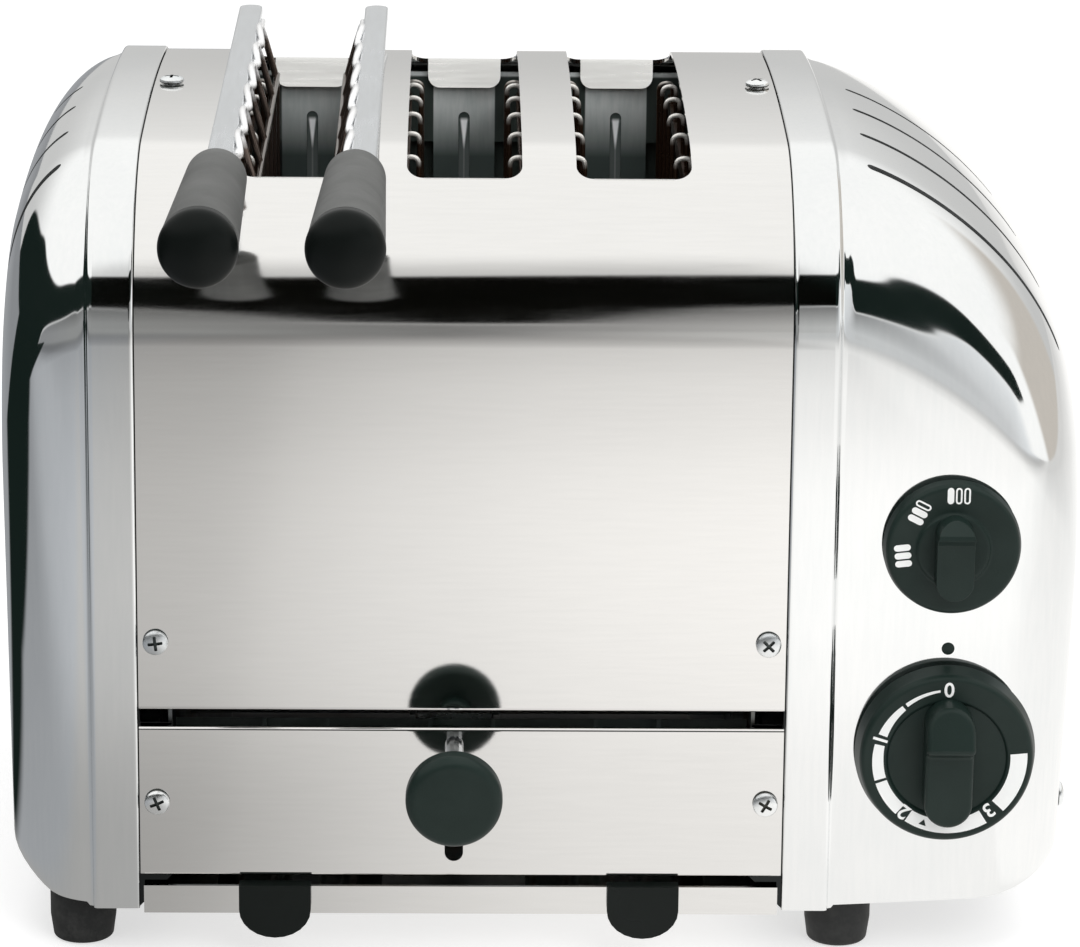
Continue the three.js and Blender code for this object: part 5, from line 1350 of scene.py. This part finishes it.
def glossy_floor(t):
    """The floor, by place: dimmer to the left and far in front, with a dark wedge on the left."""
    x, y, z = t.split(t.place())
    along, right = t.curve(y, FLOOR_ALONG, 0.0, 1.2), t.curve(y, FLOOR_RIGHT, 0.0, 1.2)
    along = t.math("MAXIMUM", along, t.product(t.step(x, 0.07, 0.16), right))
    near_left = t.product(t.step(x, 0.0, -0.1), t.step(y, -0.33, -0.14))
    level = t.product(t.curve(x, FLOOR_ACROSS, 0.0, 1.2), along, t.line(near_left, 0.0, 1.0, 1.0, 0.8))
    tint = t.mix(t.step(x, -0.14, -0.2), FLOOR_WARM, FLOOR_COOL)
    lit = t.node("ShaderNodeVectorMath", {0: tint, "Scale": level}, operation="SCALE").outputs[0]
    distant = low_tone(t, azimuth(t, t.math("SUBTRACT", x, SHIFT.x), y))
    near = t.math("MINIMUM", 0.03, t.math("MULTIPLY_ADD", x, 0.7, 0.296))
    far = t.math("MULTIPLY_ADD", x, -0.62, -0.016)
    inside = t.step(t.math("SUBTRACT", y, near), -0.025, 0.025), t.step(t.math("SUBTRACT", far, y), -0.03, 0.03)
    wedge = t.product(*inside, t.step(x, -0.15, -0.19))
    return t.mix(wedge, t.mix(t.step(y, -0.8, -2.3), lit, distant), DARK)


def by_ray(t, plain, glossy, camera, out):
    """Shows one shader to the camera, one to glossy rays and one to all the others."""
    rays = t.node("ShaderNodeLightPath", {}).outputs
    inner = t.node("ShaderNodeMixShader", {0: rays["Is Glossy Ray"], 1: plain.outputs[0], 2: glossy.outputs[0]})
    outer = t.node("ShaderNodeMixShader", {0: rays["Is Camera Ray"], 1: inner.outputs[0], 2: camera.outputs[0]})
    t.node(out, {0: outer.outputs[0]})


def empty_tree(owner):
    owner.use_nodes = True
    owner.node_tree.nodes.clear()
    return Tree(owner.node_tree)


def studio_world():
    scene.world = bpy.data.worlds.new("studio")
    t = empty_tree(scene.world)
    plain, glossy, seen = [
        t.node("ShaderNodeBackground", {"Color": colour, "Strength": strength})
        for colour, strength in ((WHITE, 0.62), (glossy_sky(t), 1.0), (WHITE, 1.0))
    ]
    by_ray(t, plain, glossy, seen, "ShaderNodeOutputWorld")


def studio_floor(reach=4.0):
    """A pale floor just under the feet, which glows a little for the camera, so that only the shadow darkens it."""
    mesh = bpy.data.meshes.new("floor")
    corners = [(-reach, -reach, 0), (reach, -reach, 0), (reach, reach, 0), (-reach, reach, 0)]
    mesh.from_pydata(corners, [], [(0, 1, 2, 3)])
    floor = shown("floor", mesh)
    floor.location.z = -0.0002
    finish = bpy.data.materials.new("pale_floor")
    t = empty_tree(finish)
    plain = t.node("ShaderNodeBsdfDiffuse", {"Color": rgb(0.9, 0.9, 0.9)})
    glossy = t.node("ShaderNodeEmission", {"Color": glossy_floor(t), "Strength": 1.0})
    half = t.node("ShaderNodeBsdfDiffuse", {"Color": rgb(0.6, 0.6, 0.6)})
    glow = t.node("ShaderNodeEmission", {"Color": WHITE, "Strength": 0.6})
    seen = t.node("ShaderNodeAddShader", {0: half.outputs[0], 1: glow.outputs[0]})
    by_ray(t, plain, glossy, seen, "ShaderNodeOutputMaterial")
    mesh.materials.append(finish)


def lamp(name, where, size, power, target=(0, 0, 0.1)):
    """A soft light that lights the piece but isn't mirrored in it."""
    data = bpy.data.lights.new(name, "AREA")
    data.shape = "RECTANGLE"
    data.size, data.size_y = size
    data.energy = power
    obj = shown(name, data)
    obj.location = where
    obj.rotation_euler = (Vector(target) - Vector(where)).to_track_quat("-Z", "Y").to_euler()
    obj.visible_glossy = obj.visible_camera = False


studio_world()
studio_floor()
lamp("lamp_above", (0.1, -0.2, 1.6), (1.6, 1.4), 14.0)
lamp("lamp_front", (0.7, -1.3, 1.0), (1.0, 0.8), 7.0)

# -------- last update of the view layer
bpy.context.view_layer.update()
